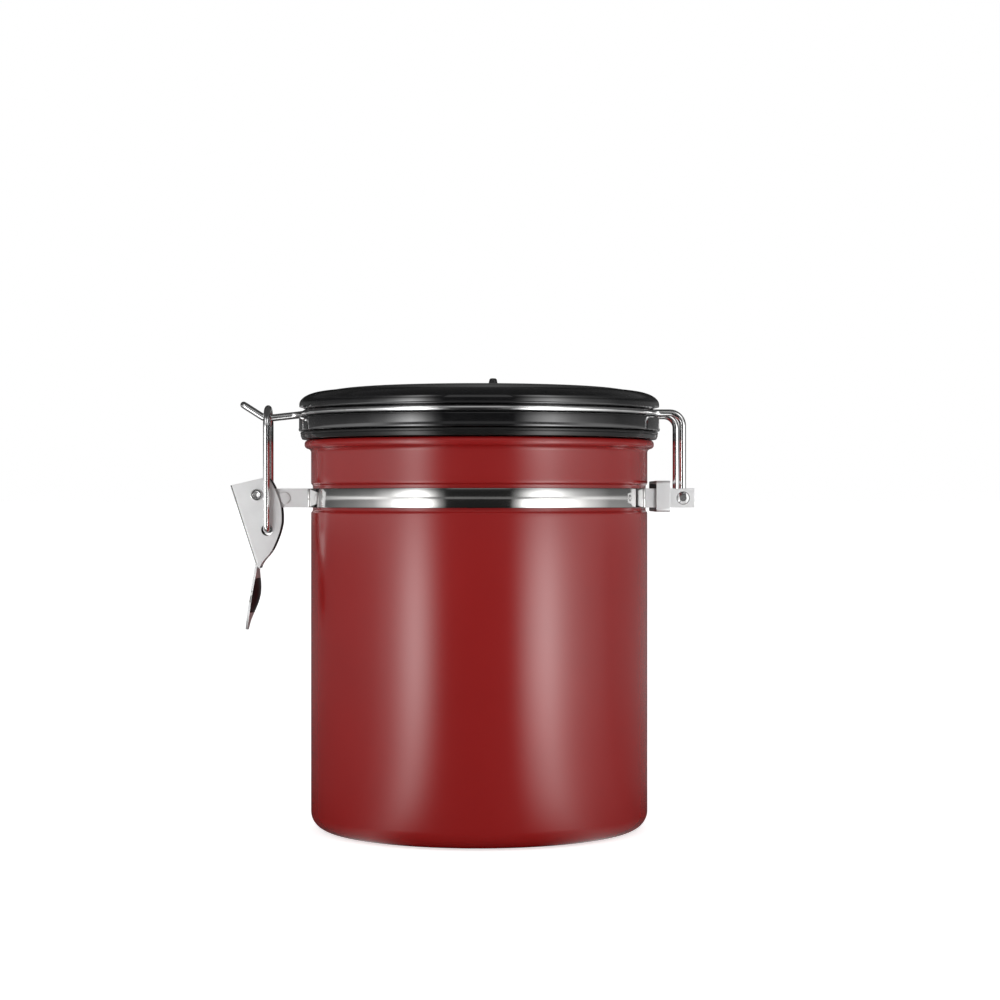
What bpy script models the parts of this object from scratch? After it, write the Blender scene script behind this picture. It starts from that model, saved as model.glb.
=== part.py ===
"""Airtight coffee canister: steel can, clamp strap, wire bail, over-centre latch and valve lid.

Lengths are in metres. The can's axis is Z and z = 0 is the face that it stands on.
The latch is at -X, the hinge is at +X.
"""
import math

import bmesh
import bpy
from mathutils import Vector

mm = 0.001

# Clearances
seat_gap = 0.3 * mm
head_gap = 0.1 * mm
run_gap = 0.15 * mm
overrun = 2.0 * mm
weld = 0.001 * mm

# Resolution
ring_steps = 64
small_steps = 24
arc_steps = 4
port_steps = 12
hole_steps = 16

# Can
body_r = 60.0 * mm
body_h = 137.7 * mm
body_wall = 0.8 * mm
body_floor = 1.0 * mm
base_fillet = 6.0 * mm
bead_out = 2.3 * mm
bead_h = 3.0 * mm
bead_round = 1.3 * mm
neck_fillet = 1.4 * mm
bead_roll_w = 1.6 * mm
bead_under_turn = 60

# Clamp strap
strap_t = 0.8 * mm
strap_h = 6.7 * mm
strap_drop = 20.5 * mm
strap_bend = 1.2 * mm
groove_depth = 0.6 * mm
groove_side = 1.2 * mm
groove_chamfer = 0.5 * mm
latch_tab_in = 2.5 * mm
latch_tab_reach = 24.2 * mm
hinge_tab_in = 17.5 * mm
hinge_tab_reach = 15.5 * mm

# Strap rivet
strap_rivet_r = 1.3 * mm
strap_rivet_head_r = 2.1 * mm
strap_rivet_head_t = 0.35 * mm
strap_rivet_reach = 9.4 * mm

# Hinge collar
collar_t = 1.0 * mm
collar_w = 4.9 * mm
collar_h = 10.9 * mm
collar_reach = 2.0 * mm
collar_rise = 0.6 * mm
collar_round = 1.2 * mm

# Bail wire
wire_r = 1.2 * mm
bail_inset = 0.4 * mm
hinge_reach = 11.5 * mm
hinge_hole_clear = 0.9 * mm
leg_gap = 0.6 * mm
leg_foot_bend = 1.7 * mm
leg_top_bend = 4.5 * mm
leg_ring_bend = 4.0 * mm
nose_half = 1.35 * mm
nose_root_bend = 5.0 * mm
nose_drop = 1.5 * mm
nose_bend = 4.0 * mm
nose_bend_reach = 16.6 * mm
nose_tip_reach = 24.3 * mm
nose_tip_rise = 3.4 * mm

# Latch lever
lever_t = 0.9 * mm
lever_pivot_reach = 19.3 * mm
lever_pivot_rise = 1.1 * mm
cheek_gap = 0.7 * mm
cheek_w = 18.3 * mm
cheek_h = 32.3 * mm
cheek_back = 9.3 * mm
cheek_top = 6.1 * mm
cheek_outline_shares = ((0.0, 0.085), (0.643, 0.0), (0.735, 0.009), (0.797, 0.046), (0.875, 0.134),
                        (0.952, 0.245), (0.991, 0.35), (1.0, 0.443), (0.991, 0.52), (0.933, 0.641),
                        (0.836, 0.773), (0.75, 0.848), (0.661, 0.905), (0.597, 0.96), (0.573, 1.0),
                        (0.508, 0.971))
channel_end_share = 0.82
spoon_len = 22.8 * mm
spoon_w = 12.5 * mm
spoon_neck_w = 4.6 * mm
spoon_dish = 2.3 * mm
spoon_t = 0.9 * mm
spoon_sweep = 4.2 * mm
spoon_root_up = 2.4 * mm
spoon_swell_share = 0.92
spoon_swell_power_share = 0.7
spoon_dish_power_share = 2.0
spoon_round_share = 0.8
spoon_tip_share = 0.235
spoon_rows = 14
spoon_columns = 8

# Lever rivet
pivot_r = 1.5 * mm
pivot_bore_r = 1.0 * mm
pivot_head_r = 2.1 * mm
pivot_head_t = 0.5 * mm

# Latch link
link_pivot_in = 3.8 * mm
link_pivot_drop = 12.45 * mm
link_foot_bend = 1.6 * mm
link_hole_clear = 0.9 * mm
link_end_in = 0.9 * mm
link_slack = 1.2 * mm

# Lid gasket
gasket_inset = 0.6 * mm
gasket_taper = 0.6 * mm
gasket_h = 2.6 * mm
gasket_fit = 0.4 * mm
gasket_round = 0.4 * mm

# Lid base
flange_over = 2.1 * mm
flange_h = 4.8 * mm
flange_round = 0.4 * mm
plug_depth = 6.2 * mm
plug_gap = 2.8 * mm
plug_mid_in = 2.9 * mm
plug_low_in = 4.5 * mm
lid_wall = 2.0 * mm
wire_seat = 0.2 * mm
flat_half = 25.0 * mm
flat_depth = 0.7 * mm
flat_lip = 0.9 * mm

# Lid cap
cap_inset = 0.2 * mm
cap_lip_h = 1.8 * mm
cap_round_h = 4.5 * mm
cap_round_w = 9.2 * mm
cap_round_angles = (90, 72, 54, 38, 24, 11, 0)
cap_crown_rise = 1.3 * mm
cap_crown_shares = ((0.45, 0.96), (0.75, 0.68))
cap_wall = 2.0 * mm
cap_snap_h = 3.0 * mm
cap_notch_half = 22.0 * mm
cap_notch_h = 1.0 * mm

# Date dial
dial_r = 33.0 * mm
dial_bore_gap = 4.0 * mm
dial_t = 1.8 * mm
dial_edge = 0.3 * mm
dial_ledge_t = 0.6 * mm
dial_ledge_w = 2.2 * mm
dial_proud = 0.2 * mm
dial_well_wall = 1.6 * mm
nub_reach = 22.0 * mm
nub_side = 5.0 * mm
nub_r = 1.6 * mm
nub_top_r = 1.2 * mm
nub_h = 2.5 * mm
nub_round = 0.5 * mm

# One-way valve
valve_flange_t = 0.8 * mm
valve_r = 11.0 * mm
valve_wall = 1.4 * mm
valve_depth = 7.5 * mm
valve_seat_t = 1.2 * mm
valve_port_r = 1.4 * mm
valve_port_ring = 4.6 * mm
valve_ports = 6
disc_r = 7.6 * mm
disc_t = 0.8 * mm
disc_stem_r = 1.1 * mm
disc_stem_len = 2.6 * mm
disc_barb_r = 1.7 * mm
disc_barb_h = 0.5 * mm
vent_cap_t = 0.9 * mm
vent_cap_skirt = 2.4 * mm
vent_slot_w = 1.2 * mm
vent_slot_len = 5.0 * mm
vent_slot_ring = 4.2 * mm
vent_slots = 6

# Filter under the lid
filter_r = 14.0 * mm
filter_t = 0.8 * mm

# Places that follow from the sizes above
bead_r = body_r + bead_out
flange_r = bead_r + flange_over
cap_r = flange_r - cap_inset
cap_crown_r = cap_r - cap_round_w
bail_ring_r = flange_r - bail_inset - wire_r
plug_r = body_r - body_wall - plug_gap
plug_mid_r = plug_r - plug_mid_in
plug_low_r = plug_mid_r - plug_low_in
gasket_r = flange_r - gasket_inset
gasket_low_r = gasket_r - gasket_taper
gasket_bore_r = plug_r + gasket_fit
dial_bore_r = valve_r + dial_bore_gap
strap_z = body_h - strap_drop
groove_r = body_r - groove_depth
groove_half = strap_h / 2 + groove_side
strap_in_r = groove_r + seat_gap
strap_mid_r = strap_in_r + strap_t / 2
latch_tab_y = latch_tab_in + strap_t / 2
latch_tab_out = latch_tab_in + strap_t
hinge_tab_y = hinge_tab_in + strap_t / 2
hinge_tab_out = hinge_tab_in + strap_t
hinge_x = body_r + hinge_reach
gasket_z = body_h + seat_gap
flange_z = gasket_z + gasket_h + seat_gap
flange_top_z = flange_z + flange_h
wire_z = flange_top_z + wire_seat + wire_r
cap_z = wire_z + wire_r + seat_gap
neck_r = bail_ring_r - wire_r - seat_gap
leg_y = hinge_tab_in - leg_gap - wire_r
pivot_x = -(body_r + lever_pivot_reach)
pivot_z = strap_z + lever_pivot_rise
cheek_in = latch_tab_out + cheek_gap
cheek_out = cheek_in + lever_t
link_x = pivot_x + link_pivot_in
link_z = pivot_z - link_pivot_drop
link_y = cheek_out + head_gap + pivot_head_t + seat_gap + wire_r
nose_z = wire_z - nose_drop
cap_top_z = cap_z + cap_lip_h + cap_round_h
crown_z = cap_top_z + cap_crown_rise
dial_z = crown_z + dial_proud - dial_t
well_z = dial_z - seat_gap
floor_z = body_h - plug_depth
valve_flange_z = dial_z + dial_ledge_t + run_gap
valve_rim_z = valve_flange_z + valve_flange_t


def clear_scene():
    """Remove what the file holds, so that a second run starts clean."""
    for item in list(bpy.data.objects):
        bpy.data.objects.remove(item, do_unlink=True)
    for group in list(bpy.data.collections):
        bpy.data.collections.remove(group)


def new_collection(name):
    """Make a collection in the scene."""
    group = bpy.data.collections.new(name)
    bpy.context.scene.collection.children.link(group)
    return group


def material(name, color, roughness, metallic):
    """Make a plain Principled material."""
    mat = bpy.data.materials.new(name)
    mat.use_nodes = True
    shader = mat.node_tree.nodes["Principled BSDF"]
    shader.inputs["Base Color"].default_value = (*color, 1.0)
    shader.inputs["Roughness"].default_value = roughness
    shader.inputs["Metallic"].default_value = metallic
    mat.diffuse_color = (*color, 1.0)
    return mat


def add_object(name, data, mat, group):
    """Link a new object and give it its material."""
    item = bpy.data.objects.new(name, data)
    group.objects.link(item)
    if mat is not None:
        data.materials.append(mat)
    return item


def add_cutter(item):
    """Mark an object as a cutter that is not part of the model."""
    item.hide_render = True
    item.display_type = "WIRE"
    return item


def cut(item, cutter, operation="DIFFERENCE"):
    """Cut or join an object with another one."""
    mod = item.modifiers.new(cutter.name, "BOOLEAN")
    mod.object = cutter
    mod.operation = operation
    mod.solver = "EXACT"
    return mod


def turned(name, profile, mat, group, closed=False, steps=ring_steps):
    """Turn a profile of (radius, height) points about Z; the outer side runs down."""
    mesh = bpy.data.meshes.new(name)
    verts = [(r, 0.0, z) for r, z in profile]
    edges = [(i, i + 1) for i in range(len(verts) - 1)]
    if closed:
        edges.append((len(verts) - 1, 0))
    mesh.from_pydata(verts, edges, [])
    item = add_object(name, mesh, mat, group)
    screw = item.modifiers.new("turn", "SCREW")
    screw.axis = "Z"
    screw.angle = math.tau
    screw.steps = steps
    screw.render_steps = steps
    screw.use_merge_vertices = True
    screw.merge_threshold = weld
    screw.use_smooth_shade = True
    return item


def arc(center, radius, start, end, steps=arc_steps):
    """Points on an arc, with angles in degrees from the +radius axis."""
    points = []
    for i in range(steps + 1):
        angle = math.radians(start + (end - start) * i / steps)
        points.append((center[0] + radius * math.cos(angle), center[1] + radius * math.sin(angle)))
    return points


def rounded_path(corners, radii, steps=arc_steps):
    """Round the corners of a path of points with arcs of the given radii."""
    path = [Vector(corners[0])]
    for i in range(1, len(corners) - 1):
        corner = Vector(corners[i])
        radius = radii[i]
        if radius <= 0:
            path.append(corner)
            continue
        back = (Vector(corners[i - 1]) - corner).normalized()
        ahead = (Vector(corners[i + 1]) - corner).normalized()
        half = back.angle(ahead) / 2
        reach = radius / math.tan(half)
        middle = (back + ahead).normalized()
        center = corner + middle * (radius / math.sin(half))
        first = corner + back * reach - center
        last = corner + ahead * reach - center
        turn = first.angle(last)
        for k in range(steps + 1):
            share = k / steps
            spoke = (first * math.sin((1 - share) * turn) + last * math.sin(share * turn)) / math.sin(turn)
            path.append(center + spoke)
    path.append(Vector(corners[-1]))
    return path


def wire(name, points, radius, mat, group):
    """Make a round wire along a list of points."""
    curve = bpy.data.curves.new(name, "CURVE")
    curve.dimensions = "3D"
    curve.bevel_depth = radius
    curve.bevel_resolution = 2
    curve.use_fill_caps = True
    spline = curve.splines.new("POLY")
    spline.points.add(len(points) - 1)
    for place, point in zip(spline.points, points):
        place.co = (*point, 1.0)
    spline.use_smooth = True
    return add_object(name, curve, mat, group)


def plate(name, outline, thickness, mat, group):
    """Extrude a flat outline of (x, z) points about the XZ plane."""
    curve = bpy.data.curves.new(name, "CURVE")
    curve.dimensions = "2D"
    curve.fill_mode = "BOTH"
    curve.extrude = thickness / 2
    spline = curve.splines.new("POLY")
    spline.points.add(len(outline) - 1)
    for place, (x, z) in zip(spline.points, outline):
        place.co = (x, z, 0.0, 1.0)
    spline.use_cyclic_u = True
    item = add_object(name, curve, mat, group)
    item.rotation_euler = (math.pi / 2, 0.0, 0.0)
    return to_mesh(item)


def to_mesh(item):
    """Turn a curve object into a welded mesh object in the same place."""
    bpy.context.view_layer.update()
    graph = bpy.context.evaluated_depsgraph_get()
    mesh = bpy.data.meshes.new_from_object(item.evaluated_get(graph))
    shape = bmesh.new()
    shape.from_mesh(mesh)
    bmesh.ops.remove_doubles(shape, verts=shape.verts, dist=weld)
    bmesh.ops.recalc_face_normals(shape, faces=shape.faces)
    shape.to_mesh(mesh)
    shape.free()
    name = item.name
    group = item.users_collection[0]
    place = item.matrix_world.copy()
    bpy.data.objects.remove(item, do_unlink=True)
    solid = bpy.data.objects.new(name, mesh)
    group.objects.link(solid)
    solid.matrix_world = place
    return solid


def box(name, low, high, mat, group):
    """Make a box between two corners."""
    mesh = bpy.data.meshes.new(name)
    shape = bmesh.new()
    bmesh.ops.create_cube(shape, size=1.0)
    size = [b - a for a, b in zip(low, high)]
    middle = [(a + b) / 2 for a, b in zip(low, high)]
    bmesh.ops.scale(shape, vec=size, verts=shape.verts)
    bmesh.ops.translate(shape, vec=middle, verts=shape.verts)
    shape.to_mesh(mesh)
    shape.free()
    return add_object(name, mesh, mat, group)


def rod(name, radius, length, center, axis, mat, group, steps=small_steps):
    """Make a cylinder about a point along X, Y or Z."""
    mesh = bpy.data.meshes.new(name)
    shape = bmesh.new()
    bmesh.ops.create_cone(shape, cap_ends=True, segments=steps, radius1=radius, radius2=radius,
                          depth=length)
    shape.to_mesh(mesh)
    shape.free()
    item = add_object(name, mesh, mat, group)
    turn = {"X": (0.0, math.pi / 2, 0.0), "Y": (math.pi / 2, 0.0, 0.0), "Z": (0.0, 0.0, 0.0)}
    item.rotation_euler = turn[axis]
    item.location = center
    return item


def canister_body(group, mat):
    """Steel can with a strap groove and a rolled rim."""
    bead_low = body_h - bead_h
    outer = [(0.0, 0.0)]
    outer = outer + arc((body_r - base_fillet, base_fillet), base_fillet, -90, 0)
    outer = outer + [(body_r, strap_z - groove_half - groove_chamfer),
                     (groove_r, strap_z - groove_half),
                     (groove_r, strap_z + groove_half),
                     (body_r, strap_z + groove_half + groove_chamfer)]
    outer = outer + arc((body_r + neck_fillet, bead_low - neck_fillet), neck_fillet, 180, 110, 3)
    outer = outer + arc((bead_r - bead_round, bead_low + bead_round), bead_round, -bead_under_turn, 0, 2)
    outer = outer + arc((bead_r - bead_round, body_h - bead_round), bead_round, 0, 90, 3)
    roll = bead_roll_w / 2
    outer = outer + arc((body_r - body_wall + roll, body_h - roll), roll, 90, 180, 2)
    inner_r = body_r - body_wall
    inner_fillet = base_fillet - body_wall
    inner = [(inner_r, strap_z + groove_half + groove_chamfer),
             (groove_r - body_wall, strap_z + groove_half),
             (groove_r - body_wall, strap_z - groove_half),
             (inner_r, strap_z - groove_half - groove_chamfer)]
    inner = inner + arc((inner_r - inner_fillet, body_floor + inner_fillet), inner_fillet, 0, -90, 3)
    inner.append((0.0, body_floor))
    profile = outer + inner
    profile.reverse()
    return turned("canister_body", profile, mat, group)


def strap_half(name, side, group, cutters, mat):
    """One half of the clamp strap, from the latch tab round the can to the hinge tab."""
    left_x = -math.sqrt(strap_mid_r ** 2 - latch_tab_y ** 2)
    right_x = math.sqrt(strap_mid_r ** 2 - hinge_tab_y ** 2)
    start = math.atan2(latch_tab_y, left_x)
    end = math.atan2(hinge_tab_y, right_x)
    corners = [(-(body_r + latch_tab_reach), latch_tab_y, 0.0), (left_x, latch_tab_y, 0.0)]
    radii = [0.0, strap_bend]
    turns = ring_steps // 2
    for i in range(1, turns):
        angle = start + (end - start) * i / turns
        corners.append((strap_mid_r * math.cos(angle), strap_mid_r * math.sin(angle), 0.0))
        radii.append(0.0)
    corners = corners + [(right_x, hinge_tab_y, 0.0), (body_r + hinge_tab_reach, hinge_tab_y, 0.0)]
    radii = radii + [strap_bend, 0.0]
    path = rounded_path(corners, radii, 3)
    mesh = bpy.data.meshes.new(name)
    shape = bmesh.new()
    verts = [shape.verts.new((p.x, side * p.y, strap_z - strap_h / 2)) for p in path]
    edges = [shape.edges.new((a, b)) for a, b in zip(verts, verts[1:])]
    grown = bmesh.ops.extrude_edge_only(shape, edges=edges)
    top = [v for v in grown["geom"] if isinstance(v, bmesh.types.BMVert)]
    bmesh.ops.translate(shape, vec=(0.0, 0.0, strap_h), verts=top)
    bmesh.ops.recalc_face_normals(shape, faces=shape.faces)
    shape.to_mesh(mesh)
    shape.free()
    item = add_object(name, mesh, mat, group)
    thick = item.modifiers.new("sheet", "SOLIDIFY")
    thick.thickness = strap_t
    thick.offset = 0.0
    thick.use_even_offset = True
    holes = (("lever_hole", pivot_r + run_gap, pivot_x, pivot_z, latch_tab_y),
             ("rivet_hole", strap_rivet_r + run_gap, -(body_r + strap_rivet_reach), strap_z, latch_tab_y),
             ("hinge_hole", wire_r + hinge_hole_clear, hinge_x, strap_z, hinge_tab_y))
    for label, radius, x, z, y in holes:
        hole = rod(name + "_" + label, radius, strap_t + overrun, (x, side * y, z), "Y", None, cutters)
        cut(item, add_cutter(hole))
    return item


def y_rivet(name, x, z, radius, head_r, head_t, half_span, bore_r, group, mat):
    """A rivet along Y with a head at each end and, where bore_r is set, an open bore."""
    outer = [(head_r, half_span + head_t), (head_r, half_span), (radius, half_span),
             (radius, -half_span), (head_r, -half_span), (head_r, -half_span - head_t)]
    if bore_r > 0:
        profile = outer + [(bore_r, -half_span - head_t), (bore_r, half_span + head_t)]
        item = turned(name, profile, mat, group, True, small_steps)
    else:
        profile = [(0.0, half_span + head_t)] + outer + [(0.0, -half_span - head_t)]
        item = turned(name, profile, mat, group, False, small_steps)
    item.rotation_euler = (math.pi / 2, 0.0, 0.0)
    item.location = (x, 0.0, z)
    return item


def hinge_collar(group, cutters, mat):
    """Flat steel loop that holds the two hinge tabs together."""
    x_low = body_r + collar_reach
    mid_z = strap_z + collar_rise
    half_y = hinge_tab_out + seat_gap + collar_t
    half_z = collar_h / 2
    item = box("hinge_collar", (x_low, -half_y, mid_z - half_z),
               (x_low + collar_w, half_y, mid_z + half_z), mat, group)
    edges = item.modifiers.new("round", "BEVEL")
    edges.width = collar_round
    edges.segments = 4
    edges.limit_method = "WEIGHT"
    shape = bmesh.new()
    shape.from_mesh(item.data)
    weights = shape.edges.layers.float.new("bevel_weight_edge")
    for edge in shape.edges:
        ends = edge.verts[1].co - edge.verts[0].co
        edge[weights] = 1.0 if abs(ends.x) > collar_w / 2 else 0.0
    shape.to_mesh(item.data)
    shape.free()
    hollow = box("collar_hollow", (x_low - overrun, -half_y + collar_t, mid_z - half_z + collar_t),
                 (x_low + collar_w + overrun, half_y - collar_t, mid_z + half_z - collar_t), None, cutters)
    cut(item, add_cutter(hollow))
    return item


def bail_wire(group, mat):
    """Wire bail: hinge feet, legs, a ring round the lid and a nose for the latch."""
    ring_x = math.sqrt(bail_ring_r ** 2 - leg_y ** 2)
    nose_x = -math.sqrt(bail_ring_r ** 2 - nose_half ** 2)
    half = [((hinge_x, -hinge_tab_out, strap_z), 0.0),
            ((hinge_x, -leg_y, strap_z), leg_foot_bend),
            ((hinge_x, -leg_y, wire_z), leg_top_bend),
            ((ring_x, -leg_y, wire_z), leg_ring_bend)]
    start = math.atan2(-leg_y, ring_x)
    end = math.atan2(-nose_half, nose_x)
    turns = ring_steps // 2
    for i in range(1, turns):
        angle = start + (end - start) * i / turns
        ring = (bail_ring_r * math.cos(angle), bail_ring_r * math.sin(angle), wire_z)
        half.append((ring, 0.0))
    tip = (-(body_r + nose_tip_reach), -nose_half, wire_z + nose_tip_rise)
    half = half + [((nose_x, -nose_half, wire_z), nose_root_bend),
                   ((-(body_r + nose_bend_reach), -nose_half, nose_z), nose_bend),
                   (tip, nose_half - head_gap)]
    other = [((x, -y, z), radius) for (x, y, z), radius in reversed(half)]
    whole = half + other
    path = rounded_path([point for point, _ in whole], [radius for _, radius in whole])
    local = [point - Vector((hinge_x, 0.0, strap_z)) for point in path]
    item = wire("bail_wire", local, wire_r, mat, group)
    item.location = (hinge_x, 0.0, strap_z)
    return item


def cheek_points():
    """The lever's side outline about its pivot."""
    return [(share_x * cheek_w - cheek_back, cheek_top - share_z * cheek_h)
            for share_x, share_z in cheek_outline_shares]


def latch_lever(group, cutters, mat):
    """Folded steel lever: two cheeks, a web and a dished thumb spoon."""
    outline = cheek_points()
    item = plate("latch_lever", outline, 2 * cheek_out, mat, group)
    item.data.materials.append(mat)
    top = Vector(outline[0])
    low = Vector(outline[-1])
    along = (low - top).normalized()
    inward = Vector((-along.y, along.x))
    first = top + inward * lever_t - along * cheek_top
    last = top + inward * lever_t + along * (low - top).length * channel_end_share
    right = cheek_w + overrun
    channel = plate("lever_channel", [tuple(first), tuple(last), (right, last.y), (right, first.y)],
                    2 * cheek_in, None, cutters)
    cut(item, add_cutter(channel))
    spoon = thumb_spoon(cutters, low)
    cut(item, add_cutter(spoon), "UNION")
    pivot_hole = rod("lever_pivot_hole", pivot_r + run_gap, 2 * cheek_out + overrun, (0.0, 0.0, 0.0), "Y",
                     None, cutters)
    link_hole = rod("lever_link_hole", wire_r + link_hole_clear, 2 * cheek_out + overrun,
                    (link_pivot_in, 0.0, -link_pivot_drop), "Y", None, cutters)
    for cutter in (channel, spoon, pivot_hole, link_hole):
        cutter.location = Vector(cutter.location) + Vector((pivot_x, 0.0, pivot_z))
    cut(item, add_cutter(pivot_hole))
    cut(item, add_cutter(link_hole))
    item.location = (pivot_x, 0.0, pivot_z)
    return item


def thumb_spoon(group, root):
    """Dished spoon below the lever's neck, hollow on the outer side."""
    bpy.ops.mesh.primitive_grid_add(x_subdivisions=spoon_columns, y_subdivisions=spoon_rows, size=1.0)
    item = bpy.context.object
    item.name = "lever_spoon"
    for old in list(item.users_collection):
        old.objects.unlink(item)
    group.objects.link(item)
    for vert in item.data.vertices:
        down = 0.5 - vert.co.y
        across = 2 * vert.co.x
        swell_at = 1 - spoon_swell_share * (1 - down)
        swell = math.sin(math.pi * min(1.0, swell_at)) ** spoon_swell_power_share
        half_w = spoon_neck_w / 2 + (spoon_w - spoon_neck_w) / 2 * swell
        if down > spoon_round_share:
            tip_at = (down - spoon_round_share) / spoon_tip_share
            half_w = half_w * math.sqrt(max(0.0, 1 - tip_at ** 2))
        dish = spoon_dish * math.sin(math.pi * down) ** spoon_dish_power_share * (1 - across ** 2)
        x = root.x - spoon_sweep * down + dish + spoon_t / 2
        vert.co = (x, across * half_w, root.y + spoon_root_up - (spoon_len + spoon_root_up) * down)
    thick = item.modifiers.new("sheet", "SOLIDIFY")
    thick.thickness = spoon_t
    thick.offset = 0.0
    return item


def latch_link(group, mat):
    """Wire link from the lever over the bail's nose."""
    top_z = nose_z + 2 * wire_r + link_slack
    end_y = cheek_in - link_end_in
    corners = [(0.0, -end_y, 0.0), (0.0, -link_y, 0.0), (0.0, -link_y, top_z - link_z),
               (0.0, link_y, top_z - link_z), (0.0, link_y, 0.0), (0.0, end_y, 0.0)]
    radii = [0.0, link_foot_bend, link_y - head_gap, link_y - head_gap, link_foot_bend, 0.0]
    path = rounded_path(corners, radii, 2 * arc_steps)
    item = wire("latch_link", path, wire_r, mat, group)
    item.location = (link_x, 0.0, link_z)
    return item


def lid_gasket(group, mat):
    """Soft ring between the lid's flange and the rim."""
    low = gasket_z
    high = gasket_z + gasket_h
    profile = [(gasket_bore_r, high), (gasket_r - gasket_round, high), (gasket_r, high - gasket_round),
               (gasket_low_r, low + gasket_round), (gasket_low_r - gasket_round, low),
               (gasket_bore_r, low)]
    return turned("lid_gasket", profile, mat, group, True)


def lid_base(group, cutters, mat):
    """Lower lid: plug, flange that presses the gasket, and the seat of the bail ring."""
    plug_z = gasket_z
    mid_z = (plug_z + floor_z) / 2
    profile = [(0.0, floor_z + lid_wall), (plug_low_r - lid_wall, floor_z + lid_wall),
               (plug_mid_r - lid_wall, mid_z + lid_wall), (plug_r - lid_wall, flange_z),
               (neck_r - lid_wall, flange_z + lid_wall), (neck_r - lid_wall, cap_z),
               (neck_r, cap_z), (neck_r, flange_top_z), (flange_r - flange_round, flange_top_z),
               (flange_r, flange_top_z - flange_round), (flange_r, flange_z + flange_round),
               (flange_r - flange_round, flange_z), (plug_r, flange_z), (plug_r, plug_z),
               (plug_mid_r, mid_z), (plug_low_r, floor_z), (filter_r + seat_gap, floor_z),
               (filter_r + seat_gap, floor_z + filter_t + seat_gap), (0.0, floor_z + filter_t + seat_gap)]
    item = turned("lid_base", profile, mat, group)
    for side, label in ((-1, "latch"), (1, "hinge")):
        x_in = side * (flange_r - flat_depth)
        x_out = side * (flange_r + overrun)
        flat = box("flange_flat_" + label, (min(x_in, x_out), -flat_half, flange_z + flat_lip),
                   (max(x_in, x_out), flat_half, flange_top_z + overrun), None, cutters)
        cut(item, add_cutter(flat))
    for i in range(valve_ports):
        angle = math.tau * i / valve_ports
        place = (valve_port_ring * math.cos(angle), valve_port_ring * math.sin(angle), floor_z + lid_wall)
        port = rod("lid_port_%d" % i, valve_port_r, 2 * lid_wall + overrun, place, "Z", None,
                   cutters, port_steps)
        cut(item, add_cutter(port))
    return item


def lid_cap(group, cutters, mat):
    """Glossy domed cap with a round well for the dial and a hole for the valve."""
    shoulder_z = cap_z + cap_lip_h
    outer = [(cap_crown_r + cap_round_w * math.cos(math.radians(angle)),
              shoulder_z + cap_round_h * math.sin(math.radians(angle))) for angle in cap_round_angles]
    well_r = dial_r + seat_gap
    well_edge_r = well_r + dial_edge
    roof_z = well_z - dial_well_wall
    hole_r = valve_r + seat_gap
    inner_r = neck_r - lid_wall - seat_gap
    crown = [(well_edge_r + (cap_crown_r - well_edge_r) * out_share, cap_top_z + cap_crown_rise * rise_share)
             for out_share, rise_share in cap_crown_shares]
    profile = [(hole_r, well_z), (well_r, well_z), (well_r, crown_z - dial_edge), (well_edge_r, crown_z)]
    profile = profile + crown + outer + [(cap_r, cap_z), (neck_r + seat_gap, cap_z),
                                 (neck_r + seat_gap, cap_z + seat_gap), (inner_r, cap_z + seat_gap),
                                 (inner_r, cap_z - cap_snap_h), (inner_r - cap_wall, cap_z - cap_snap_h),
                                 (inner_r - cap_wall, shoulder_z), (cap_crown_r - cap_wall, roof_z),
                                 (hole_r, roof_z)]
    item = turned("lid_cap", profile, mat, group, True)
    for side, label in ((-1, "latch"), (1, "hinge")):
        x_in = side * (neck_r + seat_gap)
        x_out = side * (cap_r + overrun)
        notch = box("cap_notch_" + label, (min(x_in, x_out), -cap_notch_half, cap_z - overrun),
                    (max(x_in, x_out), cap_notch_half, cap_z + cap_notch_h), None, cutters)
        cut(item, add_cutter(notch))
    return item


def date_dial(group, cutters, mat):
    """Turning date ring with a finger nub."""
    top = dial_z + dial_t
    ledge_r = dial_bore_r - dial_ledge_w
    ledge_z = dial_z + dial_ledge_t
    profile = [(dial_bore_r, top - dial_edge), (dial_bore_r + dial_edge, top), (dial_r - dial_edge, top),
               (dial_r, top - dial_edge), (dial_r, dial_z), (ledge_r, dial_z), (ledge_r, ledge_z),
               (dial_bore_r, ledge_z)]
    item = turned("date_dial", profile, mat, group, True)
    nub_y = -math.sqrt(nub_reach ** 2 - nub_side ** 2)
    nub = turned("dial_nub", [(0.0, top + nub_h), (nub_top_r - nub_round, top + nub_h),
                              (nub_top_r, top + nub_h - nub_round), (nub_r, top - dial_t / 2),
                              (0.0, top - dial_t / 2)], mat, cutters, False, small_steps)
    nub.location = (nub_side, nub_y, 0.0)
    cut(item, add_cutter(nub), "UNION")
    return item


def valve_body(group, cutters, mat):
    """Cup that hangs in the cap's hole and carries the valve disc on its ported floor."""
    low_z = well_z - valve_depth
    in_r = valve_r - valve_wall
    flange_out = dial_bore_r - seat_gap
    profile = [(0.0, low_z + valve_seat_t), (in_r, low_z + valve_seat_t), (in_r, valve_rim_z),
               (flange_out, valve_rim_z), (flange_out, valve_flange_z), (valve_r, valve_flange_z),
               (valve_r, low_z), (0.0, low_z)]
    item = turned("valve_body", profile, mat, group, False, small_steps * 2)
    for i in range(valve_ports):
        angle = math.tau * i / valve_ports
        place = (valve_port_ring * math.cos(angle), valve_port_ring * math.sin(angle), low_z)
        port = rod("valve_port_%d" % i, valve_port_r, 2 * valve_seat_t + overrun, place, "Z", None,
                   cutters, port_steps)
        cut(item, add_cutter(port))
    stem_hole = rod("valve_stem_hole", disc_stem_r + seat_gap, 2 * valve_seat_t + overrun,
                    (0.0, 0.0, low_z), "Z", None, cutters, hole_steps)
    cut(item, add_cutter(stem_hole))
    return item


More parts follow.
